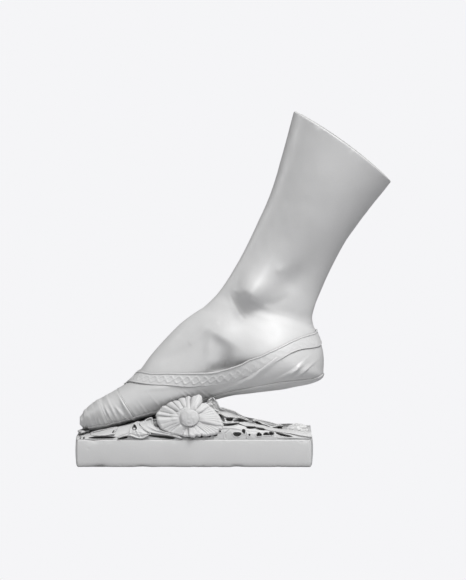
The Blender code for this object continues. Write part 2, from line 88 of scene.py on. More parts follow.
# Lines on the inner side as x, z: the trim's top, the trim's foot and the edge of the sole.
COLLAR_TOP = (
    (0.1170, 0.1273), (0.1016, 0.1212), (0.0776, 0.1108), (0.0584, 0.1027), (0.0440, 0.0965),
    (0.0296, 0.0914), (0.0150, 0.0883), (-0.0040, 0.0876), (-0.0232, 0.0876), (-0.0424, 0.0868),
    (-0.0560, 0.0860), (-0.0592, 0.0866),
)
COLLAR_FOOT = (
    (0.1212, 0.1165), (0.1016, 0.1112), (0.0824, 0.1025), (0.0651, 0.0933), (0.0488, 0.0853),
    (0.0296, 0.0790), (0.0056, 0.0765), (-0.0232, 0.0768), (-0.0424, 0.0776), (-0.0560, 0.0785),
    (-0.0650, 0.0779), (-0.0688, 0.0780),
)
SOLE_EDGE = (
    (0.1225, 0.0865), (0.0900, 0.0812), (0.0600, 0.0765), (0.0350, 0.0715), (0.0120, 0.0645),
    (-0.0140, 0.0575), (-0.0400, 0.0510), (-0.0600, 0.0455), (-0.0800, 0.0400), (-0.0960, 0.0365),
)
# How much fuller the inner side of the heel is, as bumps in the same form as those below.
FULLNESS = ((72, 86, 22, 50, 36, 48, 26, 6.6),)
# Bumps and hollows of the skin on the inner side, in millimetres: x, z, angle of the long axis,
# reach along it each way, reach across it each way, height.
INNER_SKIN = (
    (55, 160, 62, 36, 9, 14, 17, 11.5),  # ankle bone
    (58, 165, 50, 15, 8, 13, 9, 6.0),
    (82, 187, 60, 4.5, 4.5, 4, 3, 1.0),
    (40, 172, 66, 12, 12, 5, 5, -1.0),  # hollow in front of it
    (95, 175, 50, 24, 12, 11, 10, -3.6),  # hollow before the heel tendon
    (104, 148, 10, 20, 16, 14, 14, 2.4),  # heel
    (26, 124, -30, 15, 12, 13, 6, 4.2),  # arch bone
    (14, 126, -60, 12, 12, 7, 7, 1.0),
    (14, 113, 75, 9, 8, 4, 4, 0.8),
    (29, 101, 70, 10, 10, 8, 6, -4.6),  # hollow of the arch
    (28, 92, 14, 18, 15, 6.5, 6, -9.0),
    (-20, 104, 35, 20, 20, 5, 6, -1.0),
    (-22, 116, 50, 14, 14, 4, 4, 0.8),
    (-33, 96, 20, 14, 14, 4, 4, 0.6),
)
# Creases and ridges of the inner side as lines through x, z, with a half width and a height.
INNER_LINES = (
    ((40, 163), (45, 158), (54, 155), 2.8, -0.4),
    ((66, 153.5), (78, 155), (87, 159), 3.6, -0.5),
    ((36, 160), (39, 153), (43, 146), (47, 141), 1.5, -0.3),
    ((33, 162), (35.5, 153), (39, 146), (43, 141), 2.2, 0.10),
    ((-3, 117), (10, 127), (22, 134), 2.5, 0.5),
)
# The outer side's bumps and the chips of the leg's cut, in the same form.
OUTER_SKIN = (
    (70, 164, 62, 17, 14, 11, 10, 5.0),
    (68, 145, 0, 20, 18, 4, 6, -1.8),
    (98, 172, 60, 26, 20, 10, 9, -3.2),
    (25, 132, -30, 22, 20, 12, 12, 1.6),
    (5, 104, 10, 26, 22, 7, 7, -1.4),
)
CHIPS = ((117, 322, -35, 2.2, 2.2, 1.4, 1.8, -1.0), (148, 300, -35, 1.6, 1.6, 1.2, 3.4, -0.8))
# Folds of the slipper's quarter, the same way: one side of each is sharp, so it reads as a crease.
FOLDS = (
    (32, 80, 8, 34, 30, 4, 9, 1.2),
    (66, 94, 39, 24, 22, 1.0, 3.8, 2.0),
    (50, 84, 34, 22, 18, 0.9, 3.2, 1.3),
    (96, 92, 42, 11, 10, 1.0, 2.8, 1.8),
    (105, 90, 38, 11, 10, 2.4, 0.9, 1.3),
    (88, 88, 28, 14, 12, 1.0, 1.8, 1.0),
    (26, 72, 24, 22, 20, 1.6, 4.0, 1.2),
    (-34, 74, 6, 16, 14, 3.0, 2.2, 0.6),
)


def spline(table, u):
    """Catmull-Rom curve through the rows of a table, at the row numbers u."""
    table = np.asarray(table, float)
    u = np.clip(np.asarray(u, float), 0, len(table) - 1)
    row = np.minimum(u.astype(int), len(table) - 2)
    t = (u - row)[..., None]
    padded = np.vstack([2 * table[0] - table[1], table, 2 * table[-1] - table[-2]])
    p0, p1, p2, p3 = (padded[row + k] for k in range(4))
    return 0.5 * (
        2 * p1
        + (p2 - p0) * t
        + (2 * p0 - 5 * p1 + 4 * p2 - p3) * t**2
        + (3 * p1 - p0 - 3 * p2 + p3) * t**3
    )


SECTION_TABLE = np.array([[*f, *b, *rest] for f, b, *rest in SECTIONS])


def body(u, v):
    """Points of the foot's outer face at section u and angle v, which is 0 in front and pi behind."""
    fx, fz, bx, bz, inner, outer, widest, front, back = np.moveaxis(spline(SECTION_TABLE, u), -1, 0)
    c, s = np.cos(v), np.sin(v)
    power = np.where(c > 0, front, back)
    reach = (np.abs(c) ** power + np.abs(s) ** power) ** (-1 / power)
    along = widest - np.where(c > 0, widest, 1 - widest) * reach * c
    y = FOOT_Y - reach * s * np.where(s > 0, inner, outer)
    x, z = fx + (bx - fx) * along, fz + (bz - fz) * along
    return np.stack([x, y - swells(x, z, FULLNESS) * ease(0, 0.5, s), z], -1)


def body_normal(u, v):
    """Unit normals of the same face, pointing out."""
    step = 1e-3
    u = np.clip(u, step, len(SECTIONS) - 1 - step)
    normal = np.cross(body(u + step, v) - body(u - step, v), body(u, v + step) - body(u, v - step))
    return normal / np.linalg.norm(normal, axis=-1, keepdims=True)


def place_on_body(outline, samples=81):
    """Sections and angles of a smooth line whose side elevation, on the inner half, is this outline."""
    sections, angles = np.meshgrid(
        np.linspace(0, len(SECTIONS) - 1, 1601), np.linspace(0, math.pi, 361), indexing="ij"
    )
    faces = body(sections, angles)[..., (0, 2)]
    found = [np.argmin(((faces - point) ** 2).sum(-1)) for point in np.array(outline)]
    knots = np.stack([sections.ravel()[found], angles.ravel()[found]], -1)
    return spline(knots, np.linspace(0, len(outline) - 1, samples)).T


def bell(*parts):
    """A bump of height 1 that fades with the distance made up by the parts."""
    return np.exp(-sum(part**2 for part in parts))


def ease(low, high, x):
    """Smooth step from 0 at low to 1 at high."""
    x = np.clip((x - low) / (high - low), 0, 1)
    return x * x * (3 - 2 * x)


def scatter(*keys):
    """A repeatable number from 0 to 1 for whole-number keys."""
    total = sum(np.asarray(k, float) * f for k, f in zip(keys, (12.9898, 78.233, 37.719, 53.137)))
    return np.mod(np.sin(total) * 43758.5453, 1.0)


def lumps(points, size, seed=0):
    """Smooth value noise from -1 to 1 at points, with features of this size in metres."""
    p = np.asarray(points) / size + 100
    cell = np.floor(p)
    f = p - cell
    f = f * f * (3 - 2 * f)
    total = 0
    for dx in (0, 1):
        for dy in (0, 1):
            for dz in (0, 1):
                share = (
                    np.where(dx, f[..., 0], 1 - f[..., 0])
                    * np.where(dy, f[..., 1], 1 - f[..., 1])
                    * np.where(dz, f[..., 2], 1 - f[..., 2])
                )
                total = total + share * scatter(cell[..., 0] + dx, cell[..., 1] + dy, cell[..., 2] + dz, seed)
    return 2 * total - 1


def swells(x, z, table):
    """The sum of a table's bumps at points of the side elevation, in metres."""
    total = np.zeros(np.shape(x))
    for cx, cz, angle, ahead, behind, above, below, height in table:
        c, s = math.cos(math.radians(angle)), math.sin(math.radians(angle))
        dx, dz = x / MM - cx, z / MM - cz
        along, across = dx * c + dz * s, dz * c - dx * s
        along = along / np.where(along > 0, ahead, behind)
        across = across / np.where(across > 0, above, below)
        total += height * MM * bell(along, across)
    return total


def add(name, mesh, node=None, slot="skin_stone"):
    """Puts a mesh in the scene on the one body, in its slot's stone, in place of the CAD node."""
    mesh.materials.append(STONES[slot])
    made = bpy.data.objects.new(name, mesh)
    bpy.context.scene.collection.objects.link(made)
    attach(made, "root")
    if node:
        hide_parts(*([node] if isinstance(node, str) else node))
    return made


def fill_holes(mesh, weld=False, turn_out=False):
    """Closes every opening of a mesh with a face, after welding points that coincide if asked."""
    work = bmesh.new()
    work.from_mesh(mesh)
    if weld:
        bmesh.ops.remove_doubles(work, verts=work.verts, dist=1e-6)
    bmesh.ops.holes_fill(work, edges=[e for e in work.edges if e.is_boundary], sides=0)
    if turn_out:
        bmesh.ops.recalc_face_normals(work, faces=work.faces)
    work.to_mesh(mesh)
    work.free()
    mesh.shade_smooth()


def grid_mesh(name, rows, wrap=False, wrap_rows=False, cap=False, tip=None):
    """A mesh through rows of points whose faces look out where rows run down and columns anticlockwise."""
    count, columns, _ = rows.shape
    i, j = np.meshgrid(
        np.arange(count if wrap_rows else count - 1), np.arange(columns if wrap else columns - 1),
        indexing="ij",
    )
    down, across = (i + 1) % count, (j + 1) % columns
    quads = np.stack(
        [i * columns + j, down * columns + j, down * columns + across, i * columns + across], -1
    ).reshape(-1, 4)
    points = rows.reshape(-1, 3).tolist()
    faces = quads.tolist()
    if cap:
        faces.append(tuple(range(columns)))
    if tip is not None:
        points.append(tip)
        last = (count - 1) * columns
        faces += [(last + k, len(points) - 1, last + (k + 1) % columns) for k in range(columns)]
    mesh = bpy.data.meshes.new(name)
    mesh.from_pydata(points, [], faces)
    mesh.shade_smooth()
    return mesh


def thicken(piece, thickness):
    """Gives a sheet its thickness, behind the face it was drawn with."""
    shell = piece.modifiers.new("thickness", "SOLIDIFY")
    shell.thickness = thickness
    shell.offset = -1
    shell.use_even_offset = False


# ---------------------------------------------------------------- materials


def stone(name, grey, roughness, grain=1.0, crevice_shade=0.45, edge=0.10):
    """Pale carved stone: soft clouding, fine grain, painted shade darkening its crevices, and edges painted
    paler as rubbed wear and painted highlight.
    """
    made = bpy.data.materials.new(name)
    made.use_nodes = True
    nodes, links = made.node_tree.nodes, made.node_tree.links
    shader = nodes["Principled BSDF"]

    def node(kind, **settings):
        n = nodes.new(kind)
        for key, value in settings.items():
            if key in n.inputs:
                n.inputs[key].default_value = value
            else:
                setattr(n, key, value)
        return n

    def noise(scale, detail, rough=0.55):
        n = node("ShaderNodeTexNoise", Scale=scale, Detail=detail, Roughness=rough)
        links.new(place.outputs["Object"], n.inputs["Vector"])
        return n.outputs["Fac"]

    def remap(value, low, high, to_low, to_high):
        n = node("ShaderNodeMapRange")
        for socket, number in zip(("From Min", "From Max", "To Min", "To Max"), (low, high, to_low, to_high)):
            n.inputs[socket].default_value = number
        links.new(value, n.inputs["Value"])
        return n.outputs["Result"]

    def join(kind, a, b):
        n = node("ShaderNodeMath", operation=kind)
        for socket, value in zip(n.inputs, (a, b)):
            if isinstance(value, float):
                socket.default_value = value
            else:
                links.new(value, socket)
        return n.outputs["Value"]

    place = node("ShaderNodeTexCoord")
    clouds = remap(noise(28, 4), 0.3, 0.7, 0.975, 1.02)
    veins = remap(noise(9, 6, 0.7), 0.35, 0.65, 0.985, 1.01)
    specks = remap(noise(1400, 2), 0.28, 0.72, 0.97, 1.02)
    # Painted shade: the colour is darkened by ambient occlusion in crevices, holes and hollows, where shade
    # falls.
    hollow = node("ShaderNodeAmbientOcclusion", samples=8, Distance=0.006)
    shade = remap(hollow.outputs["AO"], 0.25, 0.95, crevice_shade, 1.0)
    # Partly rubbed wear, partly painted highlight: the colour is made paler on convex edges.
    shape = node("ShaderNodeNewGeometry")
    edge_wear_and_highlight = remap(shape.outputs["Pointiness"], 0.50, 0.60, 1.0, 1.0 + edge)
    tone = join("MULTIPLY", join("MULTIPLY", clouds, veins), join("MULTIPLY", specks, shade))
    tone = join("MULTIPLY", join("MULTIPLY", tone, edge_wear_and_highlight), grey)
    colour = node("ShaderNodeCombineColor")
    for channel in ("Red", "Green", "Blue"):
        links.new(tone, colour.inputs[channel])
    links.new(colour.outputs["Color"], shader.inputs["Base Color"])
    links.new(remap(noise(60, 5), 0.3, 0.7, roughness - 0.05, roughness + 0.07), shader.inputs["Roughness"])
    bump = node("ShaderNodeBump", Strength=0.10 * grain, Distance=0.0003)
    links.new(join("ADD", noise(900, 3), join("MULTIPLY", noise(220, 4), 0.8)), bump.inputs["Height"])
    links.new(bump.outputs["Normal"], shader.inputs["Normal"])
    return made


def steel(name):
    made = bpy.data.materials.new(name)
    made.use_nodes = True
    nodes, links = made.node_tree.nodes, made.node_tree.links
    shader = nodes["Principled BSDF"]
    shader.inputs["Metallic"].default_value = 1.0
    shader.inputs["Base Color"].default_value = (0.55, 0.55, 0.56, 1)
    place = nodes.new("ShaderNodeTexCoord")
    turned = nodes.new("ShaderNodeTexNoise")
    turned.inputs["Scale"].default_value = 400
    links.new(place.outputs["Object"], turned.inputs["Vector"])
    spread = nodes.new("ShaderNodeMapRange")
    spread.inputs["To Min"].default_value = 0.25
    spread.inputs["To Max"].default_value = 0.50
    links.new(turned.outputs["Fac"], spread.inputs["Value"])
    links.new(spread.outputs["Result"], shader.inputs["Roughness"])
    return made


# Each stone darkens its crevices with painted shade and paints its convex edges paler, partly as rubbed wear
# and partly as painted highlight.
STONES = {
    "skin_stone": stone("skin_stone", 0.66, 0.42, grain=0.5),
    "slipper_stone": stone("slipper_stone", 0.66, 0.40, grain=0.7),
    "flower_stone": stone("flower_stone", 0.64, 0.45, crevice_shade=0.45, edge=0.16),
    "plinth_stone": stone("plinth_stone", 0.66, 0.48, grain=1.2, edge=0.14),
}
STEEL = steel("turned_steel")

# ---------------------------------------------------------------- leg and foot

collar_top = place_on_body(COLLAR_TOP)
collar_foot = place_on_body(COLLAR_FOOT)


def sculpted(u, v):
    """Skin on the foot's surface, with its bones, tendons and hollows, sunk where the slipper covers it."""
    points, normal = body(u, v), body_normal(u, v)
    x, z = points[..., 0], points[..., 2]
    facing = np.abs(normal[..., 1])
    weight = ease(0.1, 0.6, facing)
    rise = np.where(np.sin(v) > 0, swells(x, z, INNER_SKIN), swells(x, z, OUTER_SKIN)) * weight
    rise = rise + swells(x, z, CHIPS) * (np.sin(v) > 0)
    for *knots, width, height in INNER_LINES:
        away = distance_to_line(x / MM, z / MM, knots)
        rise = rise + height * MM * bell(away / width) * weight * (np.sin(v) > 0)
    rise = rise + 0.00012 * lumps(points, 0.009) + 0.0002 * lumps(points, 0.03, 3)
    folded = np.minimum(v, TURN - v)
    edge = np.interp(u, *collar_top, left=TURN, right=-math.pi)
    sink = SKIN_SINK * ease(-0.01, 0.16, folded - edge)
    rim = np.interp(u, (0, 0.006, 0.016, 0.035), (0.0012, 0.0005, 0.0001, 0))
    cut = CUT_DOME * np.sin(v) ** 2 * ease(1.0, 0.0, u)
    return points + normal * (rise - sink - rim)[..., None] + cut[..., None] * CUT_NORMAL


def make_skin():
    stretches = ((0.04, 4, 76), (4.04, 15.6, 240), (15.7, 19.5, 18))
    sections = np.concatenate([(0, 0.006, 0.016, 0.028), *[np.linspace(*s) for s in stretches]])
    u, v = np.meshgrid(sections, np.linspace(0, TURN, 250, endpoint=False), indexing="ij")
    tip = (TOE_TIP[0] + 2 * SKIN_SINK, TOE_TIP[1], TOE_TIP[2])
    mesh = grid_mesh("leg_and_foot_skin", sculpted(u, v), wrap=True, cap=True, tip=tip)
    add("leg_and_foot_skin", mesh, "leg_and_foot")


# ---------------------------------------------------------------- slipper

sole_edge = place_on_body(SOLE_EDGE)


def gathers(u, v):
    """Little pleats drawn in along the sole, long on the toe cap and short beside it."""
    folded = np.minimum(v, TURN - v)
    edge = np.interp(u, *sole_edge)
    up = (edge - folded) / edge
    side = np.where(np.sin(v) > 0, 0.0, 7.0)
    turn = TURN * (u * 3.8 + 0.30 * np.sin(3.1 * u + side) + 0.12 * np.sin(9.7 * u + side))
    pleat = (0.5 + 0.5 * np.cos(turn)) ** 2
    strength = 0.35 + 0.65 * scatter(np.floor(turn / TURN + 0.5), side)
    long = scatter(np.floor(turn / TURN + 0.5), side + 3) ** 2
    reach = np.where(u > SEAM_SECTION, 0.70, 0.26) * (0.30 + 0.70 * long)
    fade = bell(np.maximum(up, 0) / reach) * ease(12.6, 14.2, u)
    return 0.0013 * pleat * strength * fade * (0.3 + 0.7 * ease(-0.02, 0.10, up))


def drape(points, normal, u, v):
    """How far the leather stands off the foot: folds, pleats and, on the toe cap, fine streaks."""
    x, z = points[..., 0], points[..., 2]
    weight = ease(0.15, 0.6, np.abs(normal[..., 1]))
    rise = swells(x, z, FOLDS) * weight + gathers(u, v) + 0.00025 * lumps(points, 0.018, 5)
    streaks = lumps(np.stack([u, v * 0.12, 0 * u], -1), 0.36, 9)
    streaks = streaks + 0.5 * lumps(np.stack([u, v * 0.1, 0 * u], -1), 0.15, 4)
    rise = rise + 0.00060 * streaks * ease(16.6, 17.3, u)
    folded = np.minimum(v, TURN - v)
    ridge = bell((u - 17.33 + 0.22 * (folded - 1.8)) / 0.09, (folded - 1.85) / 0.42)
    second = bell((u - 17.9 + 0.1 * (folded - 1.8)) / 0.10, (folded - 1.5) / 0.5)
    beside = bell((u - SEAM_SECTION - 0.10) / 0.07) * ease(0.4, 1.4, folded)
    return rise + 0.0019 * ridge + 0.0008 * second + 0.0010 * beside


def dressed(u, v, lift=0.0):
    points, normal = body(u, v), body_normal(u, v)
    return points + normal * (drape(points, normal, u, v) + lift)[..., None]


def from_side_to_side(sections, start, count):
    """Sections and angles running from an angle on the inner side to its like on the outer side."""
    v = start[:, None] + (TURN - 2 * start[:, None]) * np.linspace(0, 1, count)
    return np.broadcast_to(sections[:, None], v.shape), v


def make_upper():
    """The quarter of the slipper, from the trim to the toe cap."""
    sections = np.concatenate([
        np.linspace(collar_top[0][0] + 0.15, 12.6, 110), np.linspace(12.64, SEAM_SECTION - 0.03, 110)
    ])
    start = np.interp(sections, *collar_top, right=0.0)
    start = start + 0.06 * ease(0.2, 0.5, start)
    u, v = from_side_to_side(sections, start, 200)
    mesh = grid_mesh("slipper_upper_leather", dressed(u, v))
    thicken(add("slipper_upper_leather", mesh, "slipper_upper", "slipper_stone"), LEATHER)


def make_toe_cap():
    sections = np.concatenate([np.linspace(SEAM_SECTION + 0.03, 19.6, 150), np.linspace(19.62, 19.99, 12)])
    u, v = np.meshgrid(sections, np.linspace(0, TURN, 220, endpoint=False), indexing="ij")
    mesh = grid_mesh("slipper_toe_cap_leather", dressed(u, v), wrap=True, tip=TOE_TIP)
    thicken(add("slipper_toe_cap_leather", mesh, "slipper_toe_cap", "slipper_stone"), LEATHER)


def ring(outline_uv):
    """The closed loop round both sides of the foot from a line on its inner side."""
    u, v = np.array(outline_uv)
    v[0], v[-1] = math.pi, 0.0
    u = np.concatenate([u, u[-2:0:-1]])
    v = np.concatenate([v, TURN - v[-2:0:-1]])
    return u, v


def cord_mesh(name, centre, radius, sides=12, ripple=0.0):
    """A closed cord through the centre points, slightly uneven like a carved line."""
    ahead = np.roll(centre, -1, 0) - np.roll(centre, 1, 0)
    ahead /= np.linalg.norm(ahead, axis=-1, keepdims=True)
    up = np.cross(ahead, (0.3, 0.1, 0.9))
    up /= np.linalg.norm(up, axis=-1, keepdims=True)
    side = np.cross(ahead, up)
    turns = np.linspace(0, TURN, sides, endpoint=False)
    swell = radius * (1 + ripple * lumps(centre, 0.004, 2))
    rows = centre[:, None] + swell[:, None, None] * (
        np.cos(turns)[None, :, None] * up[:, None] + np.sin(turns)[None, :, None] * side[:, None]
    )
    return grid_mesh(name, rows, wrap=True, wrap_rows=True)


def resample(u, v, count):
    """The closed line on the body with its points spread evenly by length."""
    points = body(u, v)
    steps = np.linalg.norm(np.roll(points, -1, 0) - points, axis=-1)
    length = np.concatenate([[0], np.cumsum(steps)])
    at = np.linspace(0, length[-1], count, endpoint=False)
    turn = np.unwrap(np.concatenate([v, v[:1]]), period=TURN)
    return np.interp(at, length, np.concatenate([u, u[:1]])), np.interp(at, length, turn), at


def zigzag(t):
    """A line that falls from 1 to 0 and climbs back, once for each whole number."""
    return np.abs(2 * np.mod(t, 1) - 1)


def emboss(along, height):
    """The trim's raised pattern: crossing bars with a boss in each lozenge, between two plain lines."""
    phase = along / REPEAT
    share = (height - 0.16) / 0.68
    bars = bell((share - zigzag(phase)) / 0.13) + bell((share - zigzag(phase + 0.5)) / 0.13)
    boss = bell(zigzag(phase * 2) / 0.35, (share - 0.5) / 0.13)
    between = zigzag(phase * 2 + 0.5) / 0.3
    leaf_low, leaf_high = (bell(between, (share - at) / 0.12) for at in (0.08, 0.92))
    inside = ease(-0.02, 0.06, share) * ease(1.02, 0.94, share)
    return inside * np.minimum(bars + 0.8 * boss + 0.6 * (leaf_low + leaf_high), 1.3)


def make_trim():
    count = 1400
    foot_u, foot_v, _ = resample(*ring(collar_foot), count)
    top_u, top_v, length = resample(*ring(collar_top), count)
    height = np.concatenate([[0.0, 0.0], np.linspace(0.03, 0.97, 26), [1.0, 1.0]])[:, None]
    u = foot_u + (top_u - foot_u) * height
    v = foot_v + (top_v - foot_v) * height
    points, normal = body(u, v), body_normal(u, v)
    along = np.broadcast_to(length[None], u.shape)
    worn = (0.75 + 0.25 * lumps(points, 0.016, 6)) * (0.30 + 0.70 * ease(0.085, 0.02, points[..., 0]))
    pattern = emboss(along, height + 0 * along) * worn
    lift = 0.0011 + 0.00036 * pattern + 0.00012 * lumps(points, 0.003, 8)
    lift[0] = lift[-1] = 0.0
    rows = points + normal * lift[..., None]
    inner = (points - normal * 0.0006)[[-1, 0]]
    mesh = grid_mesh("trim_band_relief", np.concatenate([rows, inner])[::-1], wrap=True, wrap_rows=True)
    add("trim_band_relief", mesh, "trim_band", "slipper_stone")
    for name, u, v, lift, radius in (
        ("trim_top_cord", top_u, top_v, 0.0009, 0.0009),
        ("trim_foot_cord", foot_u, foot_v, 0.0006, 0.0006),
    ):
        centre = body(u, v) + body_normal(u, v) * lift
        mesh = cord_mesh(name + "_roll", centre[::2], radius, ripple=0.12)
        add(name + "_roll", mesh, name, "slipper_stone")


def make_seam():
    v = np.linspace(0, TURN, 400, endpoint=False)
    u = np.full_like(v, SEAM_SECTION)
    centre = body(u, v) + body_normal(u, v) * (-0.0006 + drape(body(u, v), body_normal(u, v), u, v))[:, None]
    mesh = cord_mesh("toe_seam_stitch", centre, 0.0008, ripple=0.2)
    add("toe_seam_stitch", mesh, "toe_seam_cord", "slipper_stone")


def make_sole():
    edge_u, edge_v = sole_edge
    sections = np.linspace(edge_u[0] + 0.02, 19.6, 240)
    start = np.interp(sections, edge_u, edge_v)
    columns = np.arange(90)
    u, v = from_side_to_side(sections, start, len(columns))
    points, normal = body(u, v), body_normal(u, v)
    inset = np.minimum(columns, columns[::-1])[None, :] / 4.0
    deep = np.interp(sections, (9.6, 12, 14, 19), (0.0010, 0.0012, 0.0010, 0.0008))[:, None]
    lift = deep * (0.05 + 0.95 * np.sqrt(1 - np.clip(1 - inset, 0, 1) ** 2))
    lift = lift + drape(points, normal, u, v) - 0.2 * gathers(u, v)  # the pleats are shallower here
    lift = lift + 0.0002 * lumps(points, 0.012, 7)
    mesh = grid_mesh("slipper_sole_leather", points + normal * lift[..., None])
    thicken(add("slipper_sole_leather", mesh, "slipper_sole", "slipper_stone"), SOLE_LEATHER)


# ---------------------------------------------------------------- ground, leaves and daisies

# Height of the mound's crest above the plinth along x, both in millimetres.
MOUND = (
    (-112, 1.5), (-96, 5), (-82, 9), (-68, 12.5), (-55, 16), (-41, 18.5), (-27, 20.5), (0, 24), (18, 26),
    (27, 26.6), (32, 25.6), (38, 23.6), (46, 18.0), (50, 16.2), (57, 15.0), (66, 13.2), (80, 9.6), (90, 10.0),
    (97, 9.8), (104, 8.2), (112, 8.2),
)
MOUND_END, MOUND_SIDE = 0.1118, 0.0528

# Outlines of the leaves on the mound's front face, in millimetres: x and height above the plinth.
# Then how far each leaf stands out, and its veins and folds as lines with a width and a height.
FRONT_LEAVES = {
    "leaf_front_scalloped": (
        ((25.2, 12.5), (32.4, 13), (41.4, 14.2), (49.5, 12.2), (58.4, 10.2), (68, 9), (75.6, 7.2),
         (77.6, 3.8), (78.5, -1.5), (65, -1.5), (50.7, -1.5), (36.3, -1.5), (19, -1.5), (20.9, 4.8),
         (24.3, 8.1)), 0.25,
        (((26.7, 11.4), (36.3, 11.4), (44, 10.2), 0.9, 0.4), ((50, 9.4), (58, 8.4), (66, 7.4), 0.8, 0.4),
         ((30, 2), (29.5, 6), (33, 9), 0.7, -0.35), ((50.2, 2), (51, 6), (49, 9.5), 0.7, 0.5))),
    "leaf_front_end": (
        ((77.1, 7.5), (92, 5.3), (106.4, 2.9), (113, 2.4), (113, -1.5), (92, -1.5), (77.6, -1.5),
         (75.6, 3.8)), 0.25,
        (((80, 2), (95, 1.8), (109, 1.4), 0.8, 0.3),)),
    "leaf_front_long": (
        ((26.2, 17.7), (32.5, 17.4), (41.4, 16.3), (50.2, 16), (54.7, 16.4), (57.6, 15.2), (62, 13.6),
         (68, 12), (74.6, 10), (82.8, 8.9), (90.8, 9), (103.4, 7.0), (113.4, 6.4), (113.4, 2.6),
         (106.4, 2.9), (91.6, 5.6), (79.8, 7), (75.4, 7.9), (68, 9.2), (58.4, 11.8), (49.5, 12.5),
         (41.4, 15.1), (28.1, 15.5)), 1.3,
        (((26.7, 17.2), (38, 16.4), (50.7, 14.6), (68.9, 10.8), (92, 7.3), (106, 4.6), 0.8, 0.5),
         ((52, 13.2), (68, 10.2), (86, 7), 0.7, -0.3))),
    "leaf_crest": (
        ((55.4, 16.9), (58.4, 18.2), (65, 17.2), (72.4, 15.5), (82.8, 12.5), (84.8, 11.3), (79.8, 10.7),
         (74.6, 10), (68, 12.3), (63.6, 13.6), (57.6, 15.6)), 2.1,
        (((59.3, 16.1), (67, 14.6), (74.7, 12.5), (81.4, 11.5), 0.8, 0.35),)),
    "leaf_ball_upright": (
        ((12.6, 34.9), (17.8, 39.0), (20, 36.4), (21.8, 35.3), (22.9, 32.7), (25.5, 28.3), (28.4, 28),
         (30.3, 28.4), (34.8, 27), (39.9, 25.2), (44.4, 21.4), (48.8, 19.6), (52.6, 17.1), (50.2, 16.4),
         (45.8, 18), (39.9, 19.6), (36.2, 20.3), (30.3, 21), (26.6, 22.6), (21.4, 23.6), (17.8, 25),
         (14.8, 28.3), (13.2, 31.2)), 2.2,
        (((20, 27), (25.2, 24.3), (33.4, 23.3), (41.4, 20.8), (46.8, 18.6), 0.8, 0.45),
         ((14.2, 32.2), (18, 27.4), (23.8, 24.7), 0.7, 0.5),
         ((19.6, 31.7), (23.8, 26.9), (32.4, 24.8), (40, 22), 0.7, -0.4),
         ((17.1, 33.1), (21.9, 27), 0.8, -0.5), ((17.2, 38), (17, 34.5), 1.6, -1.4))),
    "leaf_toe_flat": (
        ((-99.2, 4.6), (-98, 5.5), (-92.5, 7.3), (-85.3, 8.6), (-78.4, 10.2), (-73.2, 10.6), (-75.4, 7.3),
         (-76, 4.9), (-79.4, 4.7), (-85.3, 3.8), (-91.4, 3.5), (-98, 3.7)), 1.4,
        (((-95.2, 4.9), (-86.6, 6.4), (-78.9, 8.2), 0.8, 0.2),)),
    "leaf_front_blade": (
        ((-51.5, 15.3), (-48.8, 16.2), (-44, 18.8), (-40.2, 19.6), (-39.7, 17.5), (-38.1, 14.9),
         (-35.6, 12.2), (-31.4, 9), (-23.2, 6.4), (-15.6, 4.2), (-11.0, 0.7), (-18.4, 2.4), (-26.4, 4.4),
         (-34.8, 5.5), (-41, 6.6), (-46.4, 9.4), (-51.7, 13.4)), 1.5,
        (((-47, 16.8), (-43.9, 12.8), (-36.7, 9.2), (-27.1, 6.4), (-17.5, 3.6), 0.8, 0.4),
         ((-42, 18.2), (-40.5, 14.5), (-34.8, 10.4), 0.7, -0.35))),
    "leaf_front_lobed": (
        ((-72.2, 1.2), (-70.9, 2.6), (-62.6, 5.7), (-61.3, 7.9), (-59.6, 12.4), (-54.8, 15.8), (-51.7, 15.4),
         (-52.5, 13.4), (-48.2, 10.7), (-41, 6.3), (-43.4, 3.6), (-49.3, 0.9), (-55.4, 1.6), (-61.3, 3.6),
         (-66.4, 2.9)), 1.9,
        (((-53, 14.5), (-54.9, 8.0), (-51.1, 2.4), 0.8, 0.25), ((-54.9, 8), (-61.6, 6.1), 0.8, 0.25),
         ((-54.9, 8.0), (-45.3, 5.3), 0.8, 0.25), ((-52.8, 13), (-48, 9), (-42.5, 6), 0.6, -0.3))),
}
BACK_LEAVES = {
    "leaf_back_crest": (
        ((28, 17), (36, 20), (46, 16), (58, 13), (74, 10), (60, 8), (44, 9.5), (32, 12)), 1.4,
        (((30, 16), (46, 13), (68, 10), 0.9, -0.5),)),
    "leaf_back_long": (
        ((22, 9), (34, 13), (52, 11.5), (72, 8), (89, 3.6), (70, 3), (48, 4), (30, 5)), 1.2,
        (((26, 9), (50, 7.6), (84, 4), 0.9, -0.5),)),
    "leaf_back_lobed": (
        ((-73, 1), (-74, 6), (-68, 7), (-66, 12), (-58, 15), (-53, 11), (-51, 6), (-54, 1)), 1.4,
        (((-60, 14), (-62, 7), (-63, 1.6), 0.9, -0.5), ((-62, 7), (-70, 4), 0.8, -0.4),
         ((-62, 7), (-54, 4), 0.8, -0.4))),
    "leaf_back_toe": (
        ((-106, 1.6), (-98, 5), (-86, 8), (-76, 9), (-78, 4), (-92, 1.6)), 1.2,
        (((-103, 2.4), (-90, 4.6), (-79, 7), 0.8, -0.4),)),
}
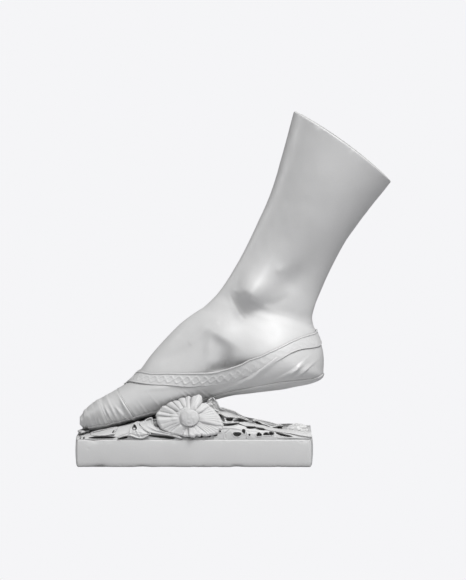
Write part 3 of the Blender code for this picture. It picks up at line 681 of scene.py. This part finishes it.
# Drilled holes: x, height, half length, half height in millimetres, tilt in degrees.
FRONT_HOLES = (
    (25.2, 20.3, 4.6, 2.3, -32), (33.9, 18.9, 3.2, 1.5, -4), (43.5, 17.3, 6.0, 1.15, -7),
    (34.8, 14.4, 7.2, 0.8, 5), (54.2, 11.3, 4.3, 0.9, -3), (63.5, 9.9, 4.2, 0.7, -8),
    (61.2, 14.4, 3.2, 0.9, -22), (82, 10.3, 2.4, 1.2, 0), (41.1, 5.2, 3.6, 2.0, 0),
    (47.4, 7.9, 1.3, 2.0, 20), (52.9, 4.6, 0.7, 0.8, 0), (62, 4.8, 2.3, 1.7, 0), (68.9, 5.4, 2.6, 1.2, 0),
    (73.7, 5.8, 2.4, 1.6, 0), (85.1, 4.6, 7, 0.95, -13), (-5.1, 2.6, 1.5, 1.1, 0),
    (6.5, 3.4, 2.1, 1.2, 0), (13.7, 3.8, 2.1, 1.1, 0), (20.3, 4.6, 1.8, 1.1, 0),
    (23.8, 8.4, 1.7, 0.9, -30), (-87.6, 2.2, 11, 1.1, 1), (-102.4, 5, 2, 0.8, 0),
    (-108.5, 1.4, 0.8, 0.8, 0), (-105, 1.5, 0.8, 0.8, 0), (-76.8, 7.0, 0.8, 1.1, -40),
    (-67.4, 1.8, 4, 0.8, 14), (-56.8, 10.9, 2.1, 2.2, 0), (-30, 2.9, 12, 1.2, -6),
    (-37.0, 17.4, 2.0, 5.6, 10), (-34.5, 13.3, 1, 1, 0), (15.8, 25.7, 3.6, 0.8, -45),
    (-106.4, 7.4, 1.2, 1.6, 0),
)
BACK_HOLES = (
    (30, 14.6, 4, 1.4, -10), (48, 12.4, 5, 1.0, -8), (8, 8, 3, 2, 0), (-40, 9, 3, 2, 0), (66, 2, 7, 0.9, -4),
    (-88, 1.4, 8, 0.8, 6), (92, 5, 5, 1.2, -10), (12, 2.4, 2.4, 1.2, 0), (-8, 2.2, 2, 1.1, 0),
)


def mound_height(x):
    """The crest's height at x, all in metres, with the table's corners eased."""
    table = np.array(MOUND, float) * MM
    return sum(np.interp(x + d, *table.T) for d in (-0.002, -0.001, 0, 0.001, 0.002)) / 5


def mound(x, height, back=False):
    """A point of the mound's front or back face at this x and height above the plinth, all in metres."""
    share = np.clip(height / mound_height(x), 0, 0.93)
    y = MOUND_SIDE * (1 - share**4) ** (1 / 3)
    return np.stack(np.broadcast_arrays(x, np.where(back, y, -y), PLINTH_TOP + height), -1)


def grid_normal(points):
    """Unit normals of a grid of points whose rows run along x and whose columns climb the front face."""
    normal = np.cross(np.gradient(points, axis=0), np.gradient(points, axis=1))
    return normal / np.maximum(np.linalg.norm(normal, axis=-1, keepdims=True), 1e-12)


def distance_to_line(x, h, knots):
    """Distance in millimetres from each x and height to a line through the knots."""
    best = np.full(np.broadcast(x, h).shape, 1e9)
    for (ax, ah), (bx, bh) in zip(knots, knots[1:]):
        run = (bx - ax) ** 2 + (bh - ah) ** 2
        t = np.clip(((x - ax) * (bx - ax) + (h - ah) * (bh - ah)) / run, 0, 1)
        best = np.minimum(best, np.hypot(x - ax - t * (bx - ax), h - ah - t * (bh - ah)))
    return best


def depth_inside(x, h, outline):
    """Distance in millimetres to the outline, positive inside it."""
    inside = np.zeros(np.broadcast(x, h).shape, bool)
    closed = outline + outline[:1]
    for (ax, ah), (bx, bh) in zip(closed, closed[1:]):
        crosses = (ah > h) != (bh > h)
        inside ^= crosses & (x < ax + (h - ah) * (bx - ax) / np.where(bh == ah, 1e-9, bh - ah))
    return np.where(inside, 1, -1) * distance_to_line(x, h, closed)


def rounded(outline, steps=4):
    """The outline with its corners eased, as a closed spline through its points."""
    ring_of = np.array(outline + outline[:3])
    t = np.linspace(1, len(outline) + 1, len(outline) * steps, endpoint=False)
    return tuple(map(tuple, spline(ring_of, t)))


def drilled(x, h, holes):
    """Depth of the drilled holes and the raised rims round them, in metres."""
    total = np.zeros(np.broadcast(x, h).shape)
    rim = np.zeros_like(total)
    for hx, hh, long, short, tilt in holes:
        c, s = math.cos(math.radians(tilt)), math.sin(math.radians(tilt))
        px, ph = x - hx, h - hh
        along, across = (px * c + ph * s) / long, (ph * c - px * s) / short
        size = min(long, short)
        wobble = 0.10 * np.sin(3 * np.arctan2(across, along) + hx)
        gap = (np.hypot(along, across) * (1 + wobble) - 1) * size
        total = np.maximum(total, ease(0.22, -0.30, gap))
        rim = np.maximum(rim, bell((gap - 0.55) / 0.33) * np.clip(size / 1.2, 0.5, 1))
    return HOLE_DEPTH * total, HOLE_RIM * rim * (1 - total)


def make_ground(above):
    """The mound between the leaves, pressed down under the slipper and drilled with deep holes."""
    x = np.linspace(-MOUND_END, MOUND_END, 640)
    climb = np.linspace(0, 0.93, 80)
    tall = mound_height(x)[:, None]
    front = mound(x[:, None], tall * climb)
    back = mound(x[:, None], tall * climb[::-2], True)
    ridge = np.linspace(0, 1, 20)[None, 1:-1, None]
    top = front[:, -1:] * (1 - ridge) + back[:, :1] * ridge
    top[..., 2] = PLINTH_TOP + tall * (0.93 + 0.07 * np.sin(math.pi * ridge[..., 0]) ** 0.6)
    points = np.concatenate([front, top, back], 1)
    plan_x, plan_y = np.linspace(-0.112, 0.06, 60), np.linspace(-0.053, 0.053, 40)
    ceiling = np.full((60, 40), 1.0)
    for i, j in np.ndindex(ceiling.shape):
        for tree in above:
            hit = tree.ray_cast(Vector((plan_x[i], plan_y[j], PLINTH_TOP)), Vector((0, 0, 1)))[0]
            if hit is not None:
                ceiling[i, j] = min(ceiling[i, j], hit.z + 0.0006)
    place_i = np.clip((points[..., 0] - plan_x[0]) / (plan_x[1] - plan_x[0]), 0, 58.999)
    place_j = np.clip((points[..., 1] - plan_y[0]) / (plan_y[1] - plan_y[0]), 0, 38.999)
    i, j = place_i.astype(int), place_j.astype(int)
    fi, fj = place_i - i, place_j - j
    roof = (
        ceiling[i, j] * (1 - fi) * (1 - fj) + ceiling[i + 1, j] * fi * (1 - fj)
        + ceiling[i, j + 1] * (1 - fi) * fj + ceiling[i + 1, j + 1] * fi * fj
    )
    points[..., 2] = np.minimum(points[..., 2], np.maximum(roof, PLINTH_TOP + 0.0006))
    normal = grid_normal(points)
    px, ph = points[..., 0] / MM, (points[..., 2] - PLINTH_TOP) / MM
    is_front = np.arange(points.shape[1])[None] < len(climb)
    is_back = np.arange(points.shape[1])[None] >= points.shape[1] - back.shape[1]
    rise = -0.0007 * ease(0.5, 2.0, ph)
    rise = rise + 0.00035 * lumps(points, 0.009, 1) + 0.00018 * lumps(points, 0.0035, 2)
    for side, holes in ((is_front, FRONT_HOLES), (is_back, BACK_HOLES)):
        deep, rim = drilled(px, ph, holes)
        rise = rise + side * (rim - deep)
    rise = rise * ease(0, 0.0012, MOUND_END - np.abs(points[..., 0]) + 0.0004)
    outward = np.where(is_back[..., None], (0, 0.98, 0.2), normal)
    outward = np.where(is_front[..., None], (0, -0.98, 0.2), outward)
    points = points + outward * rise[..., None]
    foot = points[:, (0, -1)].copy()
    foot[..., 2] = PLINTH_TOP - 0.0004
    points = np.concatenate([foot[:, :1], points, foot[:, 1:]], 1)
    closed = np.concatenate([points, points[:, :1]], 1)
    mesh = grid_mesh("ground_bed_carved", closed)
    fill_holes(mesh, weld=True)
    add("ground_bed_carved", mesh, "ground_bed", "flower_stone")


def make_leaf(name, facts, back, holes, seed):
    """A leaf lying on the mound: soft blade with veins, a raised margin and a steep edge down to the bed."""
    outline, stand, veins = facts
    outline = rounded(outline)
    low, high = np.min(outline, 0) - 0.9, np.max(outline, 0) + 0.9
    low[1] = max(low[1], -0.8)
    x, h = np.meshgrid(np.arange(low[0], high[0], 0.26), np.arange(low[1], high[1], 0.26), indexing="ij")
    x = np.clip(x, -MOUND_END / MM, MOUND_END / MM + 0.3)
    depth = depth_inside(x, h, outline)
    points = mound(x * MM, h * MM, back)
    outward = np.array([0, 0.98 if back else -0.98, 0.2])
    edge = ease(-0.42, 0.10, depth)
    margin = min(stand / 3, 0.55)
    rise = -2.2 + (2.2 + stand) * edge + margin * bell((depth - 0.55) / 0.42)
    rise = rise - 0.8 * margin * bell((depth - 1.9) / 1.1) * edge
    for *knots, width, height in veins:
        away = distance_to_line(x, h, knots)
        rise = rise + height * (bell(away / width) - 0.5 * bell((away - 1.7 * width) / width))
    rise = rise + 0.14 * lumps(points, 0.006, seed) + 0.06 * lumps(points, 0.002, seed + 1)
    deep, rim = drilled(x, h, holes)
    rise = rise * MM + rim - deep
    points = points + outward * rise[..., None]
    keep = depth > -0.55
    count, columns = x.shape
    i, j = np.meshgrid(np.arange(count - 1), np.arange(columns - 1), indexing="ij")
    wanted = keep[:-1, :-1] & keep[1:, :-1] & keep[1:, 1:] & keep[:-1, 1:]
    i, j = i[wanted], j[wanted]
    first, below = i * columns + j, (i + 1) * columns + j
    quads = np.stack([first, below, below + 1, first + 1], -1)
    quads = quads[:, ::-1] if back else quads
    used, index = np.unique(quads, return_inverse=True)
    mesh = bpy.data.meshes.new(name + "_blade")
    mesh.from_pydata(points.reshape(-1, 3)[used].tolist(), [], index.reshape(-1, 4).tolist())
    mesh.shade_smooth()
    thicken(add(name + "_blade", mesh, name, "flower_stone"), BLADE)


# Deep cuts between the front daisy's petals: angle, where along the petal they start, depth, half width.
SLOTS = (
    (-62, 0.10, 2.6, 1.0), (-29, 0.05, 2.2, 0.9), (-45, 0.55, 1.8, 0.9), (-10, 0.60, 1.8, 0.8),
    (10, 0.3, 1.0, 0.6), (40, 0.25, 1.8, 0.8), (62, 0.5, 0.9, 0.6), (104, 0.75, 2.0, 0.7),
    (-85, 0.3, 1.6, 2.2), (-79, 0.2, 0.8, 0.7),
)
# Petals clockwise from straight up: where each starts and ends in degrees, how far its tip bends out of
# the flower's plane in millimetres (less than 0 is back), how strongly it is ribbed, how many ribs.
PETALS = (
    (-163, -156, -0.6, 0.35, 2), (-156, -130, -0.4, 0.30, 5), (-130, -112, 0.2, 0.45, 2),
    (-112, -91, 0.4, 0.35, 2), (-91, -79, -3.5, 0.3, 1), (-79, -62, -9.5, 0.25, 1),
    (-62, -29, -12.5, 0.9, 2), (-29, 10, -12.5, 0.9, 2), (10, 40, -6.0, 0.6, 2), (40, 62, -5.0, 0.5, 2),
    (62, 83, -3.0, 0.45, 3), (83, 104, -2.0, 0.40, 4), (104, 131, 0.4, 0.35, 6), (131, 152, 1.4, 0.35, 5),
    (152, 176, 1.8, 0.40, 5), (176, 197, 1.6, 0.40, 5),
)
# Reach of the front daisy's petals in millimetres, by the same angles, as the flower is seen straight on.
PETAL_REACH = (
    (-180, 16.8), (-172, 16.8), (-164, 17), (-155, 17.4), (-146, 18.2), (-137, 19.7), (-130, 22),
    (-125, 23.4), (-118, 24.6), (-112, 27.4), (-105, 28), (-98, 29), (-91, 29.4), (-88, 29.8),
    (-84, 30.4), (-79, 29.4), (-76, 28.6), (-70, 27.2), (-66, 27), (-62, 24.6), (-58, 24), (-52, 23.4),
    (-47, 22.4), (-44, 18.8), (-41, 21.4), (-35, 19.8), (-29, 18.4), (-26, 20.4), (-20, 20.2),
    (-13, 19.8), (-10, 17), (-6, 20), (0, 20.8), (5, 18.6), (10, 19.4), (14, 20.8), (20, 22), (24, 23.8),
    (28, 23.4), (36, 19.8), (40, 17.6), (46, 19.2), (54, 21.6), (60, 21.8), (66, 23), (73, 24.6),
    (80, 26), (87, 28.2), (94, 30.2), (98, 32.2), (104, 33.4), (108, 32.8), (112, 30), (116, 31),
    (122, 28.4), (127, 25.4), (132, 24.2), (138, 21.4), (143, 18.6), (148, 19.6), (153, 17.4), (160, 17),
    (165, 18.2), (170, 17.4), (175, 16.6), (180, 16.8),
)


def polar_flower(name, node, centre, tilt, reach_at, petals, disc, slots=(), ruffle=1.0):
    """A daisy as one fluted sheet cut into petals, thickened towards the back."""
    tilt = math.radians(tilt)
    way = 1 if tilt > 0 else -1
    normal = np.array([0, -math.sin(tilt), math.cos(tilt)])
    up = np.array([0, math.cos(tilt), math.sin(tilt)]) * way
    right = np.array([1.0, 0, 0])

    def placed(px, pz, height):
        return np.array(centre) + px[..., None] * right + pz[..., None] * up + height[..., None] * normal

    angle = np.linspace(-180, 180, 1080, endpoint=False)[None, :]
    s = np.linspace(0, 1, 64)[:, None]
    reach = reach_at(angle) * MM
    bend_at = np.zeros(angle.shape)
    rib = np.zeros(np.broadcast(s, angle).shape)
    crease = np.zeros_like(rib)
    lift = np.zeros_like(rib)
    for number, (start, end, back, strength, ribs) in enumerate(petals):
        turn = np.mod(angle - start, 360)
        share = turn / (end - start)
        inside = share < 1
        bend_at = np.where(inside, back, bend_at)
        fine = np.abs(np.sin(math.pi * ribs * (share + 0.04 * np.sin(5 * s + number)))) ** 0.6 - 0.55
        rib = np.where(inside, strength * fine, rib)
        edge = np.minimum(share, 1 - share) * (end - start) / PER_RADIAN * reach / MM * np.maximum(s, 0.3)
        crease = np.where(inside, bell(edge / 0.32), crease)
        lift = np.where(inside, 0.8 * math.sin(2.4 * number) * np.ones_like(s) + 1.2 * (share - 0.5), lift)
    kernel = np.hanning(25) / np.hanning(25).sum()
    wide = np.concatenate([bend_at[:, -12:], bend_at, bend_at[:, :12]], 1)[0]
    bend_at = np.convolve(wide, kernel, "valid")[None]
    radius = disc * 0.75 + (reach - disc * 0.75) * s
    out = ease(0.05, 0.35, s)
    height = bend_at * s**1.5 + ruffle * (1.3 * rib * out + lift * out)
    for at, start, deep, half in slots:
        away = (np.mod(angle - at + 180, 360) - 180) / PER_RADIAN * reach / MM * s
        height = height - deep * bell(away / half) * ease(start, start + 0.2, s)
    height = height - ruffle * 1.3 * crease * ease(0.10, 0.5, s)
    tip = 0.12 * bell((s - 0.93) / 0.05) - 1.4 * ease(0.955, 1.0, s)
    height = (height + tip * ruffle) * MM
    a = np.radians(angle)
    px, pz = radius * np.sin(a), radius * np.cos(a)
    sheet = grid_mesh(name + "_petal_ring", placed(px, pz, height)[:, ::way], wrap=True)
    thicken(add(name + "_petal_ring", sheet, node + "_petals", "flower_stone"), PETAL)
    r, a = np.meshgrid(np.linspace(0.02, 1, 60), np.linspace(0, TURN, 241)[:-1], indexing="ij")
    px, pz = disc * r * np.sin(a), disc * 0.80 * r * np.cos(a)
    flat = np.stack([px, pz, 0 * px], -1)
    beads = np.cos(a * 30) * bell((r - 0.92) / 0.05) * ease(-0.1, 0.5, -np.cos(a - 0.7))
    dome = 0.36 * disc * np.sqrt(np.clip(1 - (np.hypot(px / disc - 0.12, pz / disc) / 0.98) ** 2.4, 0, 1))
    seeds = 0.00022 * lumps(flat, 0.002, 3) + 0.00045 * lumps(flat, 0.0055, 5)
    height = 0.0011 + dome + 0.00035 * beads + seeds * ease(0.95, 0.7, r) - 0.0008 * ease(0.93, 1.0, r)
    rows = placed(px, pz, height)
    rows = np.concatenate([rows, rows[-1:] - 0.0025 * normal])
    mesh = grid_mesh(name + "_disc_beads", rows[:, ::way], wrap=True)
    fill_holes(mesh)
    add(name + "_disc_beads", mesh, node + "_disc", "flower_stone")


def plain_petals(count, bend, ribs=2):
    """Even petals all round, each a little different."""
    step = 360 / count
    return tuple(
        (-180 + k * step, -180 + (k + 1) * step, bend * (0.8 + 0.4 * float(scatter(k, count))), 0.35, ribs)
        for k in range(count)
    )


def oval_reach(count, wide, tall, notch=0.10):
    """Reach of even petals that together fill an oval, notched where two of them meet."""
    def reach(angle):
        a = np.radians(angle)
        oval = 1 / np.hypot(np.sin(a) / wide, np.cos(a) / tall)
        return oval * (1 - notch * (1 - np.abs(np.sin((angle + 180) * count * math.pi / 360))) ** 2)
    return reach


def make_berry():
    """The berry that sits in a drilled socket of the lobed leaf."""
    where = mound(np.array(-0.0568), np.array(0.0100)) + np.array((0, -0.0012, 0))
    mesh = bpy.data.meshes.new("lobed_leaf_berry")
    work = bmesh.new()
    bmesh.ops.create_icosphere(work, subdivisions=4, radius=0.0012)
    for vert in work.verts:
        vert.co *= 1 + 0.06 * float(lumps(np.array(vert.co[:]), 0.0012, 1))
        vert.co += Vector(where)
    work.to_mesh(mesh)
    work.free()
    mesh.shade_smooth()
    add("lobed_leaf_berry", mesh, None, "flower_stone")


def make_toe_end_leaf():
    """The narrow leaf lying across the plinth at the toe end."""
    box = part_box("leaf_toe_end")
    s, t = np.meshgrid(np.linspace(0, 1, 80), np.linspace(-1, 1, 21), indexing="ij")
    y = box[0][1] + (box[1][1] - box[0][1]) * s
    width = 0.0034 * np.sin(math.pi * np.clip(s, 0.02, 0.98)) ** 0.6
    x = (box[0][0] + box[1][0]) / 2 + width * t + 0.0008 * np.sin(9 * s)
    z = box[1][2] - 0.0012 - 0.0008 * t**2 - 0.0003 * bell(t / 0.15)
    z = z + 0.0002 * np.cos(40 * s - 6 * np.abs(t))
    mesh = grid_mesh("leaf_toe_end_blade", np.stack([x, y, z], -1)[:, ::-1])
    thicken(add("leaf_toe_end_blade", mesh, "leaf_toe_end", "flower_stone"), PETAL)


# ---------------------------------------------------------------- plinth


def plinth_loop():
    """Plan outline of the block, anticlockwise, with bowed ends and eased corners, and its normals."""
    half_l, half_d, bow, corner = 0.112, 0.055, 0.002, 0.0016
    points = []
    for side in range(4):
        if side % 2 == 0:
            run = np.linspace(-half_l + corner, half_l - corner, 330)
            line = np.stack([run, np.full_like(run, -half_d)], -1)
        else:
            run = np.linspace(-half_d + corner, half_d - corner, 150)
            swell = bow * (1 - (run / half_d) ** 2)
            line = np.stack([half_l + swell, run], -1)
        turn = np.linspace(0, math.pi / 2, 8)[1:-1]
        arc = np.stack([
            (half_l if side % 2 == 0 else half_d) - corner + corner * np.sin(turn),
            -(half_d if side % 2 == 0 else half_l) + corner - corner * np.cos(turn),
        ], -1)
        if side % 2:
            arc = np.stack([
                half_l - corner + corner * np.cos(turn), half_d - corner + corner * np.sin(turn)
            ], -1)
        block = np.concatenate([line, arc])
        if side >= 2:
            block = -block
        points.append(block)
    loop = np.concatenate(points)
    ahead = np.roll(loop, -1, 0) - np.roll(loop, 1, 0)
    normal = np.stack([ahead[:, 1], -ahead[:, 0]], -1)
    return loop, normal / np.linalg.norm(normal, axis=-1, keepdims=True)


def make_plinth():
    """A sawn block with slightly full faces, worn arrises and a few small chips."""
    loop, normal = plinth_loop()
    top = PLINTH_TOP
    arris = 0.0011
    bends = np.linspace(0, math.pi / 2, 6)
    profile = [(0.03, 0), (0.008, 0)]
    profile += [(arris - arris * math.sin(b), arris - arris * math.cos(b)) for b in bends]
    profile += [(0, z) for z in np.linspace(arris, top - arris, 40)[1:-1]]
    profile += [(arris - arris * math.cos(b), top - arris + arris * math.sin(b)) for b in bends]
    profile += [(0.004, top), (0.012, top), (0.03, top)]
    inset, z = np.array(profile).T
    full = 0.0008 * ((z - top / 2) / (top / 2)) ** 2
    inset = inset + full
    rows = np.concatenate([
        loop[None] - normal[None] * inset[:, None, None],
        np.broadcast_to(z[:, None, None], (len(z), len(loop), 1)),
    ], -1)
    near = ease(0.004, 0.0, np.minimum(z, top - z))[:, None] * (inset < 0.01)[:, None]
    wear = np.clip(lumps(rows, 0.010, 1) - 0.25, 0, 1) + 0.6 * np.clip(lumps(rows, 0.003, 2) - 0.35, 0, 1)
    chips = np.zeros(rows.shape[:2])
    for cx, cz, size, deep in (
        (-0.098, top, 0.0045, 0.9), (-0.093, top, 0.003, 0.8), (-0.088, 0.0, 0.006, 0.8),
        (0.107, top, 0.003, 0.7), (-0.101, 0.018, 0.0012, 0.3), (-0.018, top, 0.003, 0.4),
    ):
        away = ((rows[..., 0] - cx) ** 2 + (rows[..., 2] - cz) ** 2) / size**2
        chips += deep * np.exp(-away) * (rows[..., 1] < 0)
    inward = 0.0011 * near * wear + 0.0007 * chips + 0.00012 * lumps(rows, 0.02, 5)
    rows[..., :2] -= normal[None] * inward[..., None]
    rows[..., 2] += np.where(z > top / 2, -1, 1)[:, None] * 0.6 * inward * near
    mesh = grid_mesh("plinth_block", rows[::-1], wrap=True, cap=True)
    fill_holes(mesh, turn_out=True)
    add("plinth_block", mesh, "plinth", "plinth_stone")


# ---------------------------------------------------------------- build

make_skin()
make_upper()
make_toe_cap()
make_seam()
make_trim()
make_sole()
bpy.context.view_layer.update()
graph = bpy.context.evaluated_depsgraph_get()
covers = [
    BVHTree.FromObject(bpy.data.objects[name], graph)
    for name in ("slipper_sole_leather", "slipper_upper_leather", "slipper_toe_cap_leather")
]
make_ground(covers)
for number, (name, facts) in enumerate(FRONT_LEAVES.items()):
    make_leaf(name, facts, False, FRONT_HOLES, number)
for number, (name, facts) in enumerate(BACK_LEAVES.items()):
    make_leaf(name, facts, True, BACK_HOLES, 20 + number)
make_toe_end_leaf()
make_berry()
polar_flower(
    "front_daisy", "daisy_front", (-0.0050, -0.0512, 0.0465), 82,
    lambda a: np.interp(a, *np.array(PETAL_REACH, float).T), PETALS, 0.0103, SLOTS,
)
back_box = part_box("daisy_back_disc")
back_place = [(low + high) / 2 for low, high in zip(*back_box)]
polar_flower(
    "back_daisy", "daisy_back", back_place, -66, oval_reach(16, 23, 15), plain_petals(16, -1.5), 0.0068
)
polar_flower(
    "heel_daisy", "daisy_heel", (0.0985, -0.0400, 0.0350), 60, oval_reach(14, 9.6, 5.6),
    plain_petals(14, -2.2, 1), 0.0034, ruffle=0.8,
)
make_plinth()
for name in ("anchor_rod", "anchor_washer", "anchor_nut", "toe_dowel"):
    solid = bpy.data.objects[name]
    solid.data.materials.clear()
    solid.data.materials.append(STEEL)

# ---------------------------------------------------------------- stage, light and camera

PAPER = (0.913, 0.913, 0.930, 1)  # what the camera sees of the floor and the backdrop
FLOOR = (0.45, 0.45, 0.46, 1)  # what the floor throws back at the object


def show(tree, lit, seen, output):
    """Lights the object with one shader and shows the camera another."""
    rays = tree.nodes.new("ShaderNodeLightPath")
    mix = tree.nodes.new("ShaderNodeMixShader")
    tree.links.new(rays.outputs["Is Camera Ray"], mix.inputs["Fac"])
    tree.links.new(lit.outputs[0], mix.inputs[1])
    tree.links.new(seen.outputs[0], mix.inputs[2])
    tree.links.new(mix.outputs[0], tree.nodes[output].inputs["Surface"])


scene = bpy.context.scene
paper = bpy.data.materials.new("pale_floor")
paper.use_nodes = True
nodes = paper.node_tree.nodes
shader = nodes["Principled BSDF"]
shader.inputs["Base Color"].default_value = FLOOR
shader.inputs["Roughness"].default_value = 0.9
glow = nodes.new("ShaderNodeEmission")
glow.inputs["Color"].default_value = PAPER
show(paper.node_tree, shader, glow, "Material Output")
bpy.ops.mesh.primitive_grid_add(x_subdivisions=4, y_subdivisions=4, size=60, location=(0, 0, -0.0004))
floor = bpy.context.object
floor.name = "floor"
floor.data.materials.append(paper)

world = bpy.data.worlds.new("studio")
scene.world = world
world.use_nodes = True
nodes = world.node_tree.nodes
backdrop = nodes["Background"]
backdrop.inputs["Color"].default_value = PAPER
ambient = nodes.new("ShaderNodeBackground")
ambient.inputs["Color"].default_value = (1, 1, 1, 1)
ambient.inputs["Strength"].default_value = 0.17
show(world.node_tree, ambient, backdrop, "World Output")


def area_light(name, azimuth, elevation, distance, size, power):
    """A square light aimed at the object; azimuth 0 is the camera's side, positive towards the heel."""
    azimuth, elevation = math.radians(azimuth), math.radians(elevation)
    way = Vector((
        math.sin(azimuth) * math.cos(elevation), -math.cos(azimuth) * math.cos(elevation), math.sin(elevation)
    ))
    light = bpy.data.lights.new(name, "AREA")
    light.size = size
    light.energy = power
    made = bpy.data.objects.new(name, light)
    scene.collection.objects.link(made)
    made.location = Vector((0.03, 0, 0.15)) + way * distance
    made.rotation_euler = (-way).to_track_quat("-Z", "Y").to_euler()


area_light("key", 38, 60, 2.5, 1.0, 54)
area_light("fill", 0, 30, 2.5, 1.0, 16)
area_light("rim", -118, 12, 2.5, 0.9, 10)

camera = bpy.data.objects.new("camera", bpy.data.cameras.new("camera"))
scene.collection.objects.link(camera)
scene.camera = camera
ELEVATION, DISTANCE, VIEW_HEIGHT = math.radians(3.0), 6.0, 0.5568
towards = Vector((0, -math.cos(ELEVATION), math.sin(ELEVATION)))
camera.location = Vector((0.0372, 0, 0.1661)) + towards * DISTANCE
camera.rotation_euler = (-towards).to_track_quat("-Z", "Y").to_euler()
camera.data.sensor_width = 36
camera.data.lens = 36 * DISTANCE / VIEW_HEIGHT
camera.data.clip_end = 100
scene.view_settings.view_transform = "Standard"
